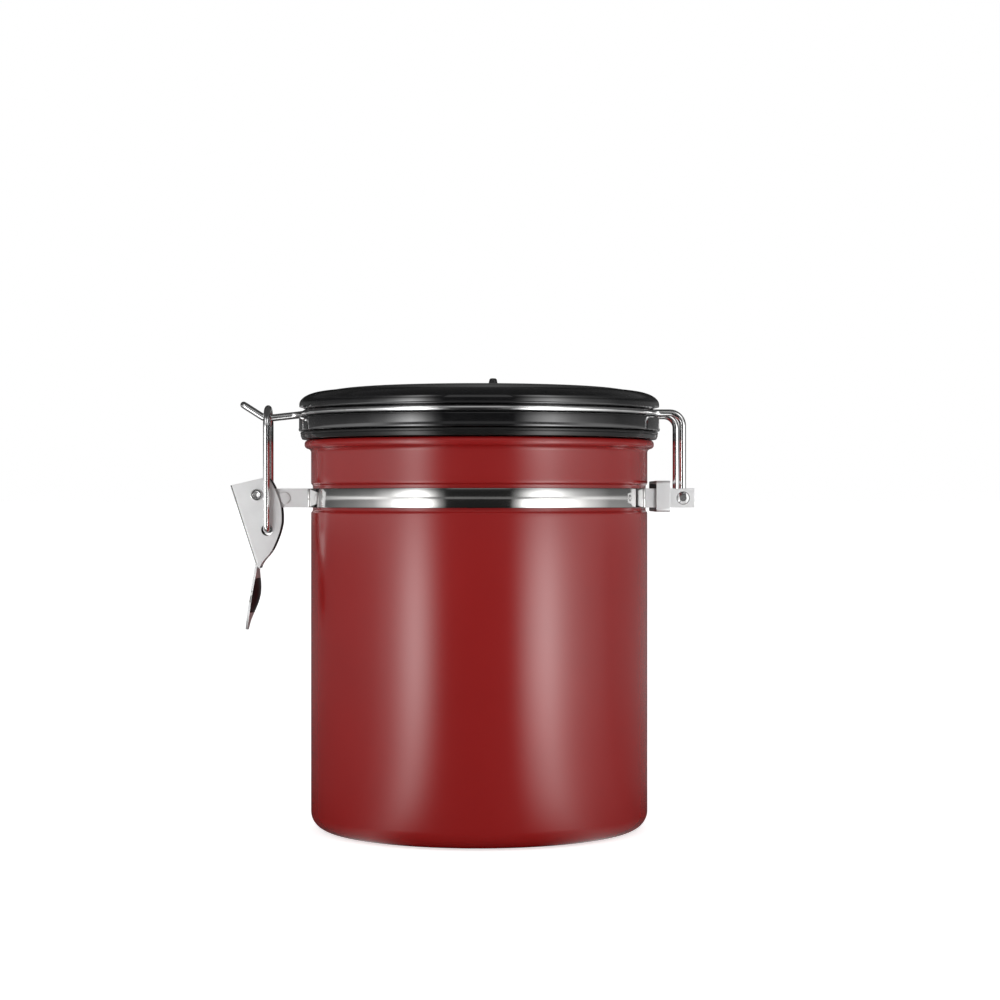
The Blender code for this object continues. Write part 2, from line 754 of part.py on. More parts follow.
def valve_disc(group, mat):
    """Soft disc that lifts to let gas out and falls shut."""
    seat_z = well_z - valve_depth + valve_seat_t + head_gap
    barb_z = seat_z - disc_stem_len
    profile = [(0.0, seat_z + disc_t), (disc_r, seat_z + disc_t), (disc_r, seat_z), (disc_stem_r, seat_z),
               (disc_stem_r, barb_z + disc_barb_h), (disc_barb_r, barb_z + disc_barb_h),
               (disc_stem_r, barb_z), (0.0, barb_z)]
    return turned("valve_disc", profile, mat, group, False, small_steps)


def vent_cap(group, cutters, mat):
    """Slotted cover pressed into the valve cup."""
    in_r = valve_r - valve_wall - seat_gap
    low_z = valve_rim_z + head_gap
    top_z = low_z + vent_cap_t
    rim_r = dial_bore_r - seat_gap
    profile = [(0.0, top_z), (rim_r - dial_edge, top_z), (rim_r, top_z - dial_edge), (rim_r, low_z),
               (in_r, low_z), (in_r, low_z - vent_cap_skirt),
               (in_r - valve_wall, low_z - vent_cap_skirt), (in_r - valve_wall, low_z), (0.0, low_z)]
    item = turned("vent_cap", profile, mat, group, False, small_steps * 2)
    for i in range(vent_slots):
        angle = math.tau * i / vent_slots
        slot = box("vent_slot_%d" % i, (-vent_slot_len / 2, -vent_slot_w / 2, low_z - overrun),
                   (vent_slot_len / 2, vent_slot_w / 2, top_z + overrun), None, cutters)
        slot.location = (vent_slot_ring * math.cos(angle), vent_slot_ring * math.sin(angle), 0.0)
        slot.rotation_euler = (0.0, 0.0, angle)
        cut(item, add_cutter(slot))
    return item


def filter_disc(group, mat):
    """Thin filter in the recess under the lid."""
    low = floor_z
    profile = [(0.0, low + filter_t), (filter_r, low + filter_t), (filter_r, low), (0.0, low)]
    return turned("filter_disc", profile, mat, group, False, small_steps * 2)


def build():
    """Build every piece of the canister."""
    clear_scene()
    parts = new_collection("coffee_canister")
    cutters = new_collection("cutters")
    red = material("red_powder_coat", (0.25, 0.017, 0.016), 0.42, 0.0)
    steel = material("polished_steel", (0.62, 0.62, 0.62), 0.2, 1.0)
    chrome = material("bright_wire", (0.75, 0.75, 0.75), 0.12, 1.0)
    gloss = material("black_gloss_plastic", (0.012, 0.012, 0.013), 0.15, 0.0)
    rubber = material("black_silicone", (0.02, 0.02, 0.02), 0.6, 0.0)
    dial_mat = material("dial_plastic", (0.03, 0.03, 0.032), 0.35, 0.0)
    clear = material("valve_silicone", (0.7, 0.7, 0.68), 0.5, 0.0)
    canister_body(parts, red)
    strap_half("strap_front", -1, parts, cutters, steel)
    strap_half("strap_rear", 1, parts, cutters, steel)
    y_rivet("strap_rivet", -(body_r + strap_rivet_reach), strap_z, strap_rivet_r, strap_rivet_head_r,
            strap_rivet_head_t, latch_tab_out + head_gap, 0.0, parts, steel)
    y_rivet("lever_rivet", pivot_x, pivot_z, pivot_r, pivot_head_r, pivot_head_t, cheek_out + head_gap,
            pivot_bore_r, parts, steel)
    hinge_collar(parts, cutters, steel)
    bail_wire(parts, chrome)
    latch_lever(parts, cutters, steel)
    latch_link(parts, chrome)
    lid_gasket(parts, rubber)
    lid_base(parts, cutters, gloss)
    lid_cap(parts, cutters, gloss)
    date_dial(parts, cutters, dial_mat)
    valve_body(parts, cutters, dial_mat)
    valve_disc(parts, clear)
    vent_cap(parts, cutters, dial_mat)
    filter_disc(parts, clear)


build()
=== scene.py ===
"""Looks of a red steel storage canister with a clamp lid, a date dial and a one-way valve."""

import bpy
import bmesh
import math
from mathutils import Matrix, Vector


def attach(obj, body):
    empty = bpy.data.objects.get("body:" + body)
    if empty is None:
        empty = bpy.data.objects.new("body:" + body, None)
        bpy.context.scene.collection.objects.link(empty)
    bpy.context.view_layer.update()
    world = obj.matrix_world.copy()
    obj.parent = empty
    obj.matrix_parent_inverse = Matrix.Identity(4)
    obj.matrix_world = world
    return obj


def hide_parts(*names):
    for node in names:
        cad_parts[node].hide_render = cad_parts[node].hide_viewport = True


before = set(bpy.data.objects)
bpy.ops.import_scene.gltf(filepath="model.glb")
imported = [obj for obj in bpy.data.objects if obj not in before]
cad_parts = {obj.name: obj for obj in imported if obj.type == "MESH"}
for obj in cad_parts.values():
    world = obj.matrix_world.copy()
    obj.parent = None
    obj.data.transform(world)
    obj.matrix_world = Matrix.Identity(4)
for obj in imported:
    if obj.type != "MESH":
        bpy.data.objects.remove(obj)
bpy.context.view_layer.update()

mm = 0.001

# Clearances
seat_gap = 0.3 * mm
head_gap = 0.1 * mm
run_gap = 0.15 * mm
overrun = 2.0 * mm
weld = 0.001 * mm

# Can
body_r = 60.0 * mm
body_h = 137.7 * mm
body_wall = 0.8 * mm
body_floor = 1.0 * mm
base_fillet = 6.0 * mm
bead_out = 2.3 * mm
bead_h = 3.0 * mm
bead_round = 1.3 * mm
neck_fillet = 1.4 * mm
bead_roll_w = 1.6 * mm

# Clamp strap
strap_t = 0.8 * mm
strap_h = 6.7 * mm
strap_drop = 20.5 * mm
strap_bend = 1.2 * mm
groove_depth = 0.6 * mm
groove_side = 1.2 * mm
groove_chamfer = 0.5 * mm
latch_tab_in = 2.5 * mm
latch_tab_reach = 24.2 * mm
hinge_tab_in = 17.5 * mm
hinge_tab_reach = 15.5 * mm

# Strap rivet
strap_rivet_r = 1.3 * mm
strap_rivet_head_r = 2.1 * mm
strap_rivet_head_t = 0.35 * mm
strap_rivet_reach = 9.4 * mm

# Hinge collar
collar_t = 1.0 * mm
collar_w = 4.9 * mm
collar_h = 10.9 * mm
collar_reach = 2.0 * mm
collar_rise = 0.6 * mm
collar_round = 1.2 * mm

# Bail wire
wire_r = 1.2 * mm
bail_inset = 0.4 * mm
hinge_reach = 11.5 * mm
hinge_hole_clear = 0.9 * mm
leg_gap = 0.6 * mm
leg_foot_bend = 1.7 * mm
leg_top_bend = 4.5 * mm
leg_ring_bend = 4.0 * mm
nose_half = 1.35 * mm
nose_root_bend = 5.0 * mm
nose_drop = 1.5 * mm
nose_bend = 4.0 * mm
nose_bend_reach = 16.6 * mm
nose_tip_reach = 24.3 * mm
nose_tip_rise = 3.4 * mm

# Latch lever
lever_t = 0.9 * mm
lever_pivot_reach = 19.3 * mm
lever_pivot_rise = 1.1 * mm
cheek_gap = 0.7 * mm
cheek_w = 18.3 * mm
cheek_h = 32.3 * mm
cheek_back = 9.3 * mm
cheek_top = 6.1 * mm
cheek_outline_shares = ((0.0, 0.085), (0.643, 0.0), (0.735, 0.009), (0.797, 0.046), (0.875, 0.134),
                        (0.952, 0.245), (0.991, 0.35), (1.0, 0.443), (0.991, 0.52), (0.933, 0.641),
                        (0.836, 0.773), (0.75, 0.848), (0.661, 0.905), (0.597, 0.96), (0.573, 1.0),
                        (0.508, 0.971))
channel_end_share = 0.82
spoon_len = 22.8 * mm
spoon_w = 12.5 * mm
spoon_neck_w = 4.6 * mm
spoon_dish = 2.3 * mm
spoon_t = 0.9 * mm
spoon_sweep = 4.2 * mm
spoon_root_up = 2.4 * mm
spoon_swell_share = 0.92
spoon_swell_power_share = 0.7
spoon_dish_power_share = 2.0
spoon_round_share = 0.8
spoon_tip_share = 0.235

# Lever rivet
pivot_r = 1.5 * mm
pivot_bore_r = 1.0 * mm
pivot_head_r = 2.1 * mm
pivot_head_t = 0.5 * mm

# Latch link
link_pivot_in = 3.8 * mm
link_pivot_drop = 12.45 * mm
link_foot_bend = 1.6 * mm
link_hole_clear = 0.9 * mm
link_end_in = 0.9 * mm
link_slack = 1.2 * mm

# Lid gasket
gasket_inset = 0.6 * mm
gasket_taper = 0.6 * mm
gasket_h = 2.6 * mm
gasket_fit = 0.4 * mm
gasket_round = 0.4 * mm

# Lid base
flange_over = 2.1 * mm
flange_h = 4.8 * mm
flange_round = 0.4 * mm
plug_depth = 6.2 * mm
plug_gap = 2.8 * mm
plug_mid_in = 2.9 * mm
plug_low_in = 4.5 * mm
lid_wall = 2.0 * mm
wire_seat = 0.2 * mm
flat_half = 25.0 * mm
flat_depth = 0.7 * mm
flat_lip = 0.9 * mm

# Lid cap
cap_inset = 0.2 * mm
cap_lip_h = 1.8 * mm
cap_round_h = 4.5 * mm
cap_round_w = 9.2 * mm
cap_crown_rise = 1.3 * mm
cap_wall = 2.0 * mm
cap_snap_h = 3.0 * mm
cap_notch_half = 22.0 * mm
cap_notch_h = 1.0 * mm

# Date dial
dial_r = 33.0 * mm
dial_bore_gap = 4.0 * mm
dial_t = 1.8 * mm
dial_edge = 0.3 * mm
dial_ledge_t = 0.6 * mm
dial_ledge_w = 2.2 * mm
dial_proud = 0.2 * mm
dial_well_wall = 1.6 * mm
nub_reach = 22.0 * mm
nub_side = 5.0 * mm
nub_r = 1.6 * mm
nub_top_r = 1.2 * mm
nub_h = 2.5 * mm

# One-way valve
valve_flange_t = 0.8 * mm
valve_r = 11.0 * mm
valve_wall = 1.4 * mm
valve_port_r = 1.4 * mm
valve_port_ring = 4.6 * mm
valve_ports = 6
vent_cap_t = 0.9 * mm
vent_cap_skirt = 2.4 * mm
vent_slot_w = 1.2 * mm
vent_slot_len = 5.0 * mm
vent_slot_ring = 4.2 * mm
vent_slots = 6

# Filter under the lid
filter_r = 14.0 * mm
filter_t = 0.8 * mm

# Places that follow from the sizes above
bead_r = body_r + bead_out
flange_r = bead_r + flange_over
cap_r = flange_r - cap_inset
cap_crown_r = cap_r - cap_round_w
bail_ring_r = flange_r - bail_inset - wire_r
plug_r = body_r - body_wall - plug_gap
plug_mid_r = plug_r - plug_mid_in
plug_low_r = plug_mid_r - plug_low_in
gasket_r = flange_r - gasket_inset
gasket_low_r = gasket_r - gasket_taper
gasket_bore_r = plug_r + gasket_fit
dial_bore_r = valve_r + dial_bore_gap
strap_z = body_h - strap_drop
groove_r = body_r - groove_depth
groove_half = strap_h / 2 + groove_side
strap_mid_r = groove_r + seat_gap + strap_t / 2
latch_tab_y = latch_tab_in + strap_t / 2
latch_tab_out = latch_tab_in + strap_t
hinge_tab_y = hinge_tab_in + strap_t / 2
hinge_tab_out = hinge_tab_in + strap_t
hinge_x = body_r + hinge_reach
gasket_z = body_h + seat_gap
flange_z = gasket_z + gasket_h + seat_gap
flange_top_z = flange_z + flange_h
wire_z = flange_top_z + wire_seat + wire_r
cap_z = wire_z + wire_r + seat_gap
neck_r = bail_ring_r - wire_r - seat_gap
leg_y = hinge_tab_in - leg_gap - wire_r
pivot_x = -(body_r + lever_pivot_reach)
pivot_z = strap_z + lever_pivot_rise
cheek_in = latch_tab_out + cheek_gap
cheek_out = cheek_in + lever_t
link_x = pivot_x + link_pivot_in
link_z = pivot_z - link_pivot_drop
link_y = cheek_out + head_gap + pivot_head_t + seat_gap + wire_r
nose_z = wire_z - nose_drop
cap_top_z = cap_z + cap_lip_h + cap_round_h
crown_z = cap_top_z + cap_crown_rise
dial_z = crown_z + dial_proud - dial_t
well_z = dial_z - seat_gap
floor_z = body_h - plug_depth
valve_flange_z = dial_z + dial_ledge_t + run_gap
valve_rim_z = valve_flange_z + valve_flange_t

# Rounds, steps and small forms that only the looks have
fine_steps = 256
part_steps = 128
rivet_steps = 64
small_round_steps = 48
groove_round = 0.9 * mm
strap_edge = 0.2 * mm
hole_rim_w = 0.6 * mm
collar_in_round = 0.4 * mm
collar_edge = 0.16 * mm
fold_round = 1.3 * mm
cheek_edge = 0.14 * mm
spoon_edge = 0.3 * mm
slot_edge = 0.1 * mm
lip_round = 0.1 * mm
seat_round = 0.2 * mm
gasket_lip_h = 0.25 * mm
gasket_lip_in = 0.3 * mm
gasket_step_in = 0.05 * mm
gasket_lip_share = 0.62
plug_round = 0.5 * mm
plug_foot_round = 2.0 * mm
plug_root_round = 0.3 * mm
neck_round = 0.4 * mm
cap_foot_round = 0.35 * mm
cap_seat_round = 0.15 * mm
nub_top_round = 0.8 * mm
nub_foot = 0.5 * mm
nub_foot_round = 0.4 * mm
nub_flare = 0.3 * mm
days = 31
number_size = 3.3 * mm
number_in = 3.6 * mm
tick_in = 1.1 * mm
tick_w = 0.28 * mm
tick_len = 1.0 * mm
print_t = 0.02 * mm
corner_share = 0.49
rivet_dome_share = 0.75


def add_object(name, data, mats):
    """Put a mesh or curve in the scene with its materials."""
    item = bpy.data.objects.new(name, data)
    bpy.context.scene.collection.objects.link(item)
    for mat in mats:
        data.materials.append(mat)
    return item


def made(name, shape, mats=(), faces_out=True, rounded=None):
    """Turn a bmesh into an object; rounded picks the edges for a weighted bevel."""
    if faces_out:
        bmesh.ops.recalc_face_normals(shape, faces=shape.faces)
    if rounded:
        weights = shape.edges.layers.float.new("bevel_weight_edge")
        for edge in shape.edges:
            edge[weights] = float(rounded(edge.verts[0].co, edge.verts[1].co))
    mesh = bpy.data.meshes.new(name)
    shape.to_mesh(mesh)
    shape.free()
    return add_object(name, mesh, mats)


def drawn(item):
    """The mesh that an object shows with its modifiers applied; the object is removed."""
    bpy.context.view_layer.update()
    graph = bpy.context.evaluated_depsgraph_get()
    mesh = bpy.data.meshes.new_from_object(item.evaluated_get(graph))
    mesh.transform(item.matrix_world)
    bpy.data.objects.remove(item, do_unlink=True)
    return mesh


def baked(item, sharp=38):
    """Apply an object's modifiers or turn a curve into a mesh, then shade it smooth by angle."""
    name = item.name
    mesh = drawn(item)
    shape = bmesh.new()
    shape.from_mesh(mesh)
    bmesh.ops.remove_doubles(shape, verts=shape.verts, dist=weld)
    bmesh.ops.recalc_face_normals(shape, faces=shape.faces)
    for face in shape.faces:
        face.smooth = True
    shape.to_mesh(mesh)
    shape.free()
    mesh.set_sharp_from_angle(angle=math.radians(sharp))
    return add_object(name, mesh, [])


def cut(item, cutter, operation="DIFFERENCE"):
    """Cut or join an object with another one, which is removed later."""
    mod = item.modifiers.new(cutter.name, "BOOLEAN")
    mod.object = cutter
    mod.operation = operation
    mod.solver = "EXACT"
    cutter.hide_render = True
    return mod


def corner_arc(before, corner, after, radius, steps, share=None):
    """Points of the arc that rounds a corner, within a share of its sides if one is given."""
    back = before - corner
    ahead = after - corner
    half = back.angle(ahead) / 2
    if share:
        radius = min(radius, share * min(back.length, ahead.length) * math.tan(half))
    reach = radius / math.tan(half)
    middle = (back.normalized() + ahead.normalized()).normalized()
    center = corner + middle * (radius / math.sin(half))
    first = corner + back.normalized() * reach - center
    last = corner + ahead.normalized() * reach - center
    turn = first.angle(last)
    spokes = [first * math.sin((1 - k / steps) * turn) + last * math.sin(k / steps * turn)
              for k in range(steps + 1)]
    return [center + spoke / math.sin(turn) for spoke in spokes]


def softened(corners, closed=False, steps=5):
    """Round the corners of a profile of (radius, height, corner round) points."""
    points = []
    count = len(corners)
    for i, (r, z, radius) in enumerate(corners):
        if radius <= 0 or (not closed and i in (0, count - 1)):
            points.append((r, z))
            continue
        before = Vector(corners[i - 1][:2])
        after = Vector(corners[(i + 1) % count][:2])
        points += map(tuple, corner_arc(before, Vector((r, z)), after, radius, steps, corner_share))
    return points


def rounded_path(corners, steps=8):
    """A path through (point, bend) corners, each rounded by its bend."""
    places = [Vector(point) for point, _ in corners]
    path = [places[0]]
    for before, corner, after, (_, bend) in zip(places, places[1:], places[2:], corners[1:]):
        path += corner_arc(before, corner, after, bend, steps) if bend > 0 else [corner]
    return path + [places[-1]]


def mirrored(corners):
    """Corners of a path and their mirror image on the far side."""
    return corners + [((x, -y, z), bend) for (x, y, z), bend in reversed(corners)]


def polar(radius, angle, z=0.0):
    """A place on a ring about Z."""
    return (radius * math.cos(angle), radius * math.sin(angle), z)


def arc(center, radius, start, end, steps=8):
    """Points on an arc, with angles in degrees from the +radius axis."""
    turns = [math.radians(start + (end - start) * i / steps) for i in range(steps + 1)]
    return [(center[0] + radius * math.cos(turn), center[1] + radius * math.sin(turn)) for turn in turns]


def ring_part(radius, first, last, count, kept, z):
    """Unbent corners along a ring between two (x, y) places, at the kept steps of a count."""
    start = math.atan2(first[1], first[0])
    end = math.atan2(last[1], last[0])
    return [(polar(radius, start + (end - start) * i / count, z), 0.0) for i in kept]


def turned(name, profile, mats, closed=False, steps=fine_steps, skin=None, sharp=38):
    """Turn a profile of (radius, height) points about Z; skin gives each band its material."""
    shape = bmesh.new()
    turns = [math.tau * i / steps for i in range(steps)]
    rings = []
    for r, z in profile:
        places = [polar(r, turn, z) for turn in turns] if r > weld else [(0.0, 0.0, z)]
        rings.append([shape.verts.new(place) for place in places])
    after = rings[1:] + (rings[:1] if closed else [])
    for band, (a, b) in enumerate(zip(rings, after)):
        for i in range(steps):
            j = (i + 1) % steps
            corners = list(dict.fromkeys([a[i % len(a)], a[j % len(a)], b[j % len(b)], b[i % len(b)]]))
            if len(corners) > 2:
                face = shape.faces.new(corners)
                face.smooth = True
                face.material_index = skin[band] if skin else 0
    item = made(name, shape, mats)
    item.data.set_sharp_from_angle(angle=math.radians(sharp))
    return item


def wire(name, points):
    """Make a bright round wire along a list of points."""
    curve = bpy.data.curves.new(name, "CURVE")
    curve.dimensions = "3D"
    curve.bevel_depth = wire_r
    curve.bevel_resolution = 7
    curve.use_fill_caps = True
    spline = curve.splines.new("POLY")
    spline.points.add(len(points) - 1)
    for place, point in zip(spline.points, points):
        place.co = (*point, 1.0)
    spline.use_smooth = True
    return baked(add_object(name, curve, [bright]), 50)


def woven(shape, grid, closed=False):
    """Fill a grid of points with faces; closed joins the ends of each line."""
    for a, b in zip(grid, grid[1:]):
        for i in range(len(a) if closed else len(a) - 1):
            j = (i + 1) % len(a)
            shape.faces.new((a[i], a[j], b[j], b[i]))


def prism(name, outline, half_w, mats, rounded=None):
    """A flat outline of (x, z) points given a thickness along Y."""
    shape = bmesh.new()
    front, back = [[shape.verts.new((x, y, z)) for x, z in outline] for y in (-half_w, half_w)]
    shape.faces.new(front)
    shape.faces.new(list(reversed(back)))
    for a, b, c, d in zip(front[1:] + front[:1], front, back, back[1:] + back[:1]):
        shape.faces.new((a, b, c, d))
    return made(name, shape, mats, rounded=rounded)


def bevel(item, width, segments, method="ANGLE"):
    """Round an object's edges."""
    mod = item.modifiers.new("round", "BEVEL")
    mod.width = width
    mod.segments = segments
    mod.limit_method = method
    mod.angle_limit = math.radians(50)


def rod(name, radius, length, center, axis):
    """A cylinder about a point along Y or Z, used to drill holes."""
    shape = bmesh.new()
    turn = Matrix.Rotation(math.pi / 2 if axis == "Y" else 0.0, 4, "X")
    bmesh.ops.create_cone(shape, cap_ends=True, segments=small_round_steps, radius1=radius, radius2=radius,
                          depth=length, matrix=Matrix.Translation(center) @ turn)
    return made(name, shape, faces_out=False)


def block(name, low, high, rounded=None):
    """A box between two corners, used to cut."""
    shape = bmesh.new()
    middle = (Vector(low) + Vector(high)) / 2
    size = Vector(high) - Vector(low)
    bmesh.ops.create_cube(shape, size=1.0, matrix=Matrix.LocRotScale(middle, None, size))
    return made(name, shape, faces_out=False, rounded=rounded)


def side_blocks(label, in_r, out_r, half_w, low_z, high_z):
    """Two boxes that cut a ring at the latch and at the hinge."""
    return [block(label + "_latch", (-out_r - overrun, -half_w, low_z), (-in_r, half_w, high_z)),
            block(label + "_hinge", (in_r, -half_w, low_z), (out_r + overrun, half_w, high_z))]


def tied(piece, body, node=None):
    """Tie a piece to the body it rides on and hide the solid that it stands for."""
    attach(piece, body)
    if node:
        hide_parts(node)
    return piece


def finished(item, tools, body, node, sharp=38):
    """Bake a piece, drop what cut it, and tie it to its body and the solid it stands for."""
    piece = baked(item, sharp)
    for tool in tools:
        bpy.data.objects.remove(tool, do_unlink=True)
    return tied(piece, body, node)


def flat_sides(piece, slot):
    """Shade the side faces that lie square to Y flat, so that their bent edges don't tint them."""
    for face in piece.data.polygons:
        if abs(face.normal.y) > 0.9999 and face.material_index == slot:
            face.use_smooth = False


class Look:
    """The nodes of a material or world, with the few kinds of node that the looks are built from."""

    def __init__(self, owner):
        owner.use_nodes = True
        self.mat = owner
        self.nodes = owner.node_tree.nodes
        self.links = owner.node_tree.links

    def feed(self, node, name, value):
        """Give an input of a node a source or a value."""
        if isinstance(value, bpy.types.NodeSocket):
            self.links.new(value, node.inputs[name])
        else:
            node.inputs[name].default_value = value

    def add(self, kind, inputs=None, **settings):
        """A node of a kind, with its settings and a source or a value for each input."""
        node = self.nodes.new("ShaderNode" + kind)
        for name, value in settings.items():
            setattr(node, name, value)
        for name, value in (inputs or {}).items():
            self.feed(node, name, value)
        return node

    def math(self, operation, *inputs):
        """A math node on one or two inputs."""
        return self.add("Math", dict(enumerate(inputs)), operation=operation).outputs[0]

    def place(self, stretch=(1.0, 1.0, 1.0)):
        """Object coordinates, stretched."""
        place = self.add("TexCoord").outputs["Object"]
        return self.add("Mapping", {"Scale": stretch, "Vector": place}).outputs["Vector"]

    def apart(self):
        """Object coordinates, one by one."""
        return self.add("SeparateXYZ", {"Vector": self.add("TexCoord").outputs["Object"]}).outputs

    def round_place(self, along, across):
        """Coordinates that run round the Z axis, so that grain follows the turned metal."""
        place = self.apart()
        turn = self.math("MULTIPLY", self.math("ARCTAN2", place["Y"], place["X"]), along)
        rise = self.math("MULTIPLY", place["Z"], across)
        return self.add("CombineXYZ", {"X": turn, "Y": rise}).outputs["Vector"]

    def noise(self, place, scale, detail=2.0, rough=0.5):
        """Noise over a place."""
        return self.add("TexNoise", {"Scale": scale, "Detail": detail, "Roughness": rough,
                                     "Vector": place}).outputs["Fac"]

    def ramp(self, source, stops):
        """Colours along a value, from (place, colour) stops."""
        node = self.add("ValToRGB", {"Fac": source})
        stretch = node.color_ramp.elements
        while len(stretch) < len(stops):
            stretch.new(0.5)
        for element, (spot, color) in zip(stretch, stops):
            element.position = spot
            element.color = (*color, 1.0)
        return node.outputs["Color"]

    def level(self, source, stops, most=1.0):
        """Brightness along a value, from (place, level) stops, levels up to most."""
        grey = self.ramp(source, [(spot, (level / most,) * 3) for spot, level in stops])
        return self.math("MULTIPLY", grey, most)

    def seen_directly(self):
        """One for camera, glossy and transmission rays, and zero for the rays that light the object."""
        path = self.add("LightPath").outputs
        first = self.math("MAXIMUM", path["Is Camera Ray"], path["Is Glossy Ray"])
        return self.math("MAXIMUM", first, path["Is Transmission Ray"])


class Finish(Look):
    """A Principled material that is built up from noise."""

    def __init__(self, name, metal=0.0):
        super().__init__(bpy.data.materials.new(name))
        self.skin = self.nodes["Principled BSDF"]
        self.keep("Metallic", metal)

    def keep(self, name, value):
        """Set an input of the skin."""
        self.feed(self.skin, name, value)

    def varied(self, color, rough, *bumps):
        """Let noises vary the colour, the roughness and the relief, and give the material."""
        source, dark_tone, light_tone = color
        self.keep("Base Color", self.ramp(source, ((noise_low, dark_tone), (noise_high, light_tone))))
        source, low, high = rough
        spread = self.add("MapRange", {"From Min": noise_low, "From Max": noise_high, "To Min": low,
                                       "To Max": high, "Value": source})
        self.keep("Roughness", spread.outputs["Result"])
        normal = None
        for height, strength, depth in bumps:
            node = self.add("Bump", {"Strength": strength, "Distance": depth, "Height": height})
            if normal:
                self.feed(node, "Normal", normal)
            normal = node.outputs["Normal"]
            self.keep("Normal", normal)
        return self.mat


def powder_coat():
    """Satin red powder coat with a fine orange peel."""
    look = Finish("red_powder_coat")
    place = look.place()
    peel = look.noise(place, 420.0)
    fine = look.noise(place, 1900.0, 2.0, 0.6)
    look.keep("Specular IOR Level", 0.0)
    look.keep("Coat Weight", 1.0)
    look.keep("Coat Roughness", 0.2)
    return look.varied((look.noise(place, 22.0, 3.0), (0.252, 0.0088, 0.0084), (0.27, 0.0102, 0.0097)),
                       (peel, 0.4, 0.46), (peel, 0.1, 0.1 * mm), (fine, 0.16, 0.03 * mm))


def bare_steel():
    """Spun bare steel inside the can, with fine lines round it."""
    look = Finish("inner_steel", 1.0)
    lines = look.noise(look.round_place(1.2, 2600.0), 1.0, 3.0, 0.65)
    cloud = look.noise(look.place(), 30.0, 3.0)
    return look.varied((cloud, (0.56, 0.555, 0.55), (0.66, 0.655, 0.645)), (lines, 0.24, 0.4),
                       (lines, 0.12, 0.02 * mm))


def strap_steel():
    """Rolled steel strip with a faint grain along it."""
    look = Finish("strap_steel", 1.0)
    lines = look.noise(look.round_place(1.6, 5200.0), 1.0, 3.0, 0.6)
    cloud = look.noise(look.place(), 45.0, 3.0)
    return look.varied((cloud, (0.54, 0.535, 0.525), (0.59, 0.585, 0.575)), (lines, 0.07, 0.11),
                       (lines, 0.1, 0.015 * mm))


def stamped_steel():
    """Barrel polished stamped steel of the lever, collar, tabs and strap rivet."""
    look = Finish("latch_steel", 0.7)
    cloud = look.noise(look.place(), 130.0, 4.0)
    grain = look.noise(look.place((700.0, 700.0, 4200.0)), 1.0, 3.0, 0.6)
    return look.varied((cloud, (0.76, 0.762, 0.764), (0.83, 0.832, 0.834)), (grain, 0.45, 0.55),
                       (cloud, 0.06, 0.05 * mm), (grain, 0.08, 0.012 * mm))


def gloss_plastic():
    """High gloss black moulded plastic with a slight sink and flow waviness."""
    look = Finish("lid_plastic")
    place = look.place()
    haze = look.noise(place, 260.0, 4.0, 0.6)
    look.keep("Coat Weight", 0.9)
    look.keep("Coat Roughness", 0.04)
    return look.varied((haze, (0.005, 0.005, 0.0055), (0.0085, 0.0085, 0.009)), (haze, 0.04, 0.09),
                       (look.noise(place, 34.0, 1.0), 0.06, 0.25 * mm))


def soft_silicone(name, dark_tone, light_tone, low_rough):
    """Silicone with a fine moulded skin."""
    look = Finish(name)
    place = look.place()
    dust = look.noise(place, 120.0, 5.0, 0.7)
    return look.varied((dust, dark_tone, light_tone), (dust, low_rough, low_rough + 0.06),
                       (look.noise(place, 1200.0, 3.0, 0.6), 0.02, 0.01 * mm))


def even_look(name, metal, grain, dark_tone, light_tone, rough, *bumps):
    """A material whose colour, roughness and relief follow one noise."""
    look = Finish(name, metal)
    fine = look.noise(look.place(), *grain)
    return look.varied((fine, dark_tone, light_tone), (fine, *rough), *[(fine, *bump) for bump in bumps])


noise_low = 0.3
noise_high = 0.7
red = powder_coat()
inside = bare_steel()
strap = strap_steel()
steel = stamped_steel()
gloss = gloss_plastic()
gasket_rubber = soft_silicone("gasket_silicone", (0.009, 0.009, 0.009), (0.013, 0.013, 0.013), 0.14)
disc_rubber = soft_silicone("valve_silicone", (0.3, 0.3, 0.29), (0.38, 0.38, 0.37), 0.42)

# Near-black steel, used as painted shade inside the lever's channel, inside the hinge collar and on its end
# facing the can, and round the strap's hinge holes; also gives a darker band on the spoon's hollow side
painted_shade = even_look("dark_steel", 0.6, (420.0, 4.0, 0.6), (0.035, 0.035, 0.037), (0.06, 0.06, 0.062),
                 (0.3, 0.44), (0.08, 0.02 * mm))

# Bright drawn wire
bright = even_look("bright_wire", 1.0, (160.0, 3.0), (0.81, 0.81, 0.81), (0.87, 0.87, 0.87), (0.15, 0.2),
                   (0.03, 0.01 * mm))

# Spark textured black plastic of the dial
dial_black = even_look("dial_plastic", 0.0, (1500.0, 3.0, 0.6), (0.01, 0.01, 0.011), (0.016, 0.016, 0.017),
                       (0.38, 0.52), (0.3, 0.03 * mm))

# Satin black plastic of the valve and its vented cap
valve_black = even_look("valve_plastic", 0.0, (900.0, 3.0, 0.55), (0.012, 0.012, 0.013),
                        (0.019, 0.019, 0.02), (0.27, 0.38), (0.14, 0.02 * mm))

# Fine woven steel gauze of the filter
gauze = even_look("filter_mesh", 1.0, (300.0, 3.0), (0.48, 0.475, 0.465), (0.6, 0.595, 0.58), (0.28, 0.42),
                  (0.1, 0.02 * mm))

# Pale pad printed ink of the dial's numbers
ink = even_look("dial_print", 0.0, (1800.0, 3.0), (0.54, 0.54, 0.53), (0.68, 0.68, 0.67), (0.42, 0.58))


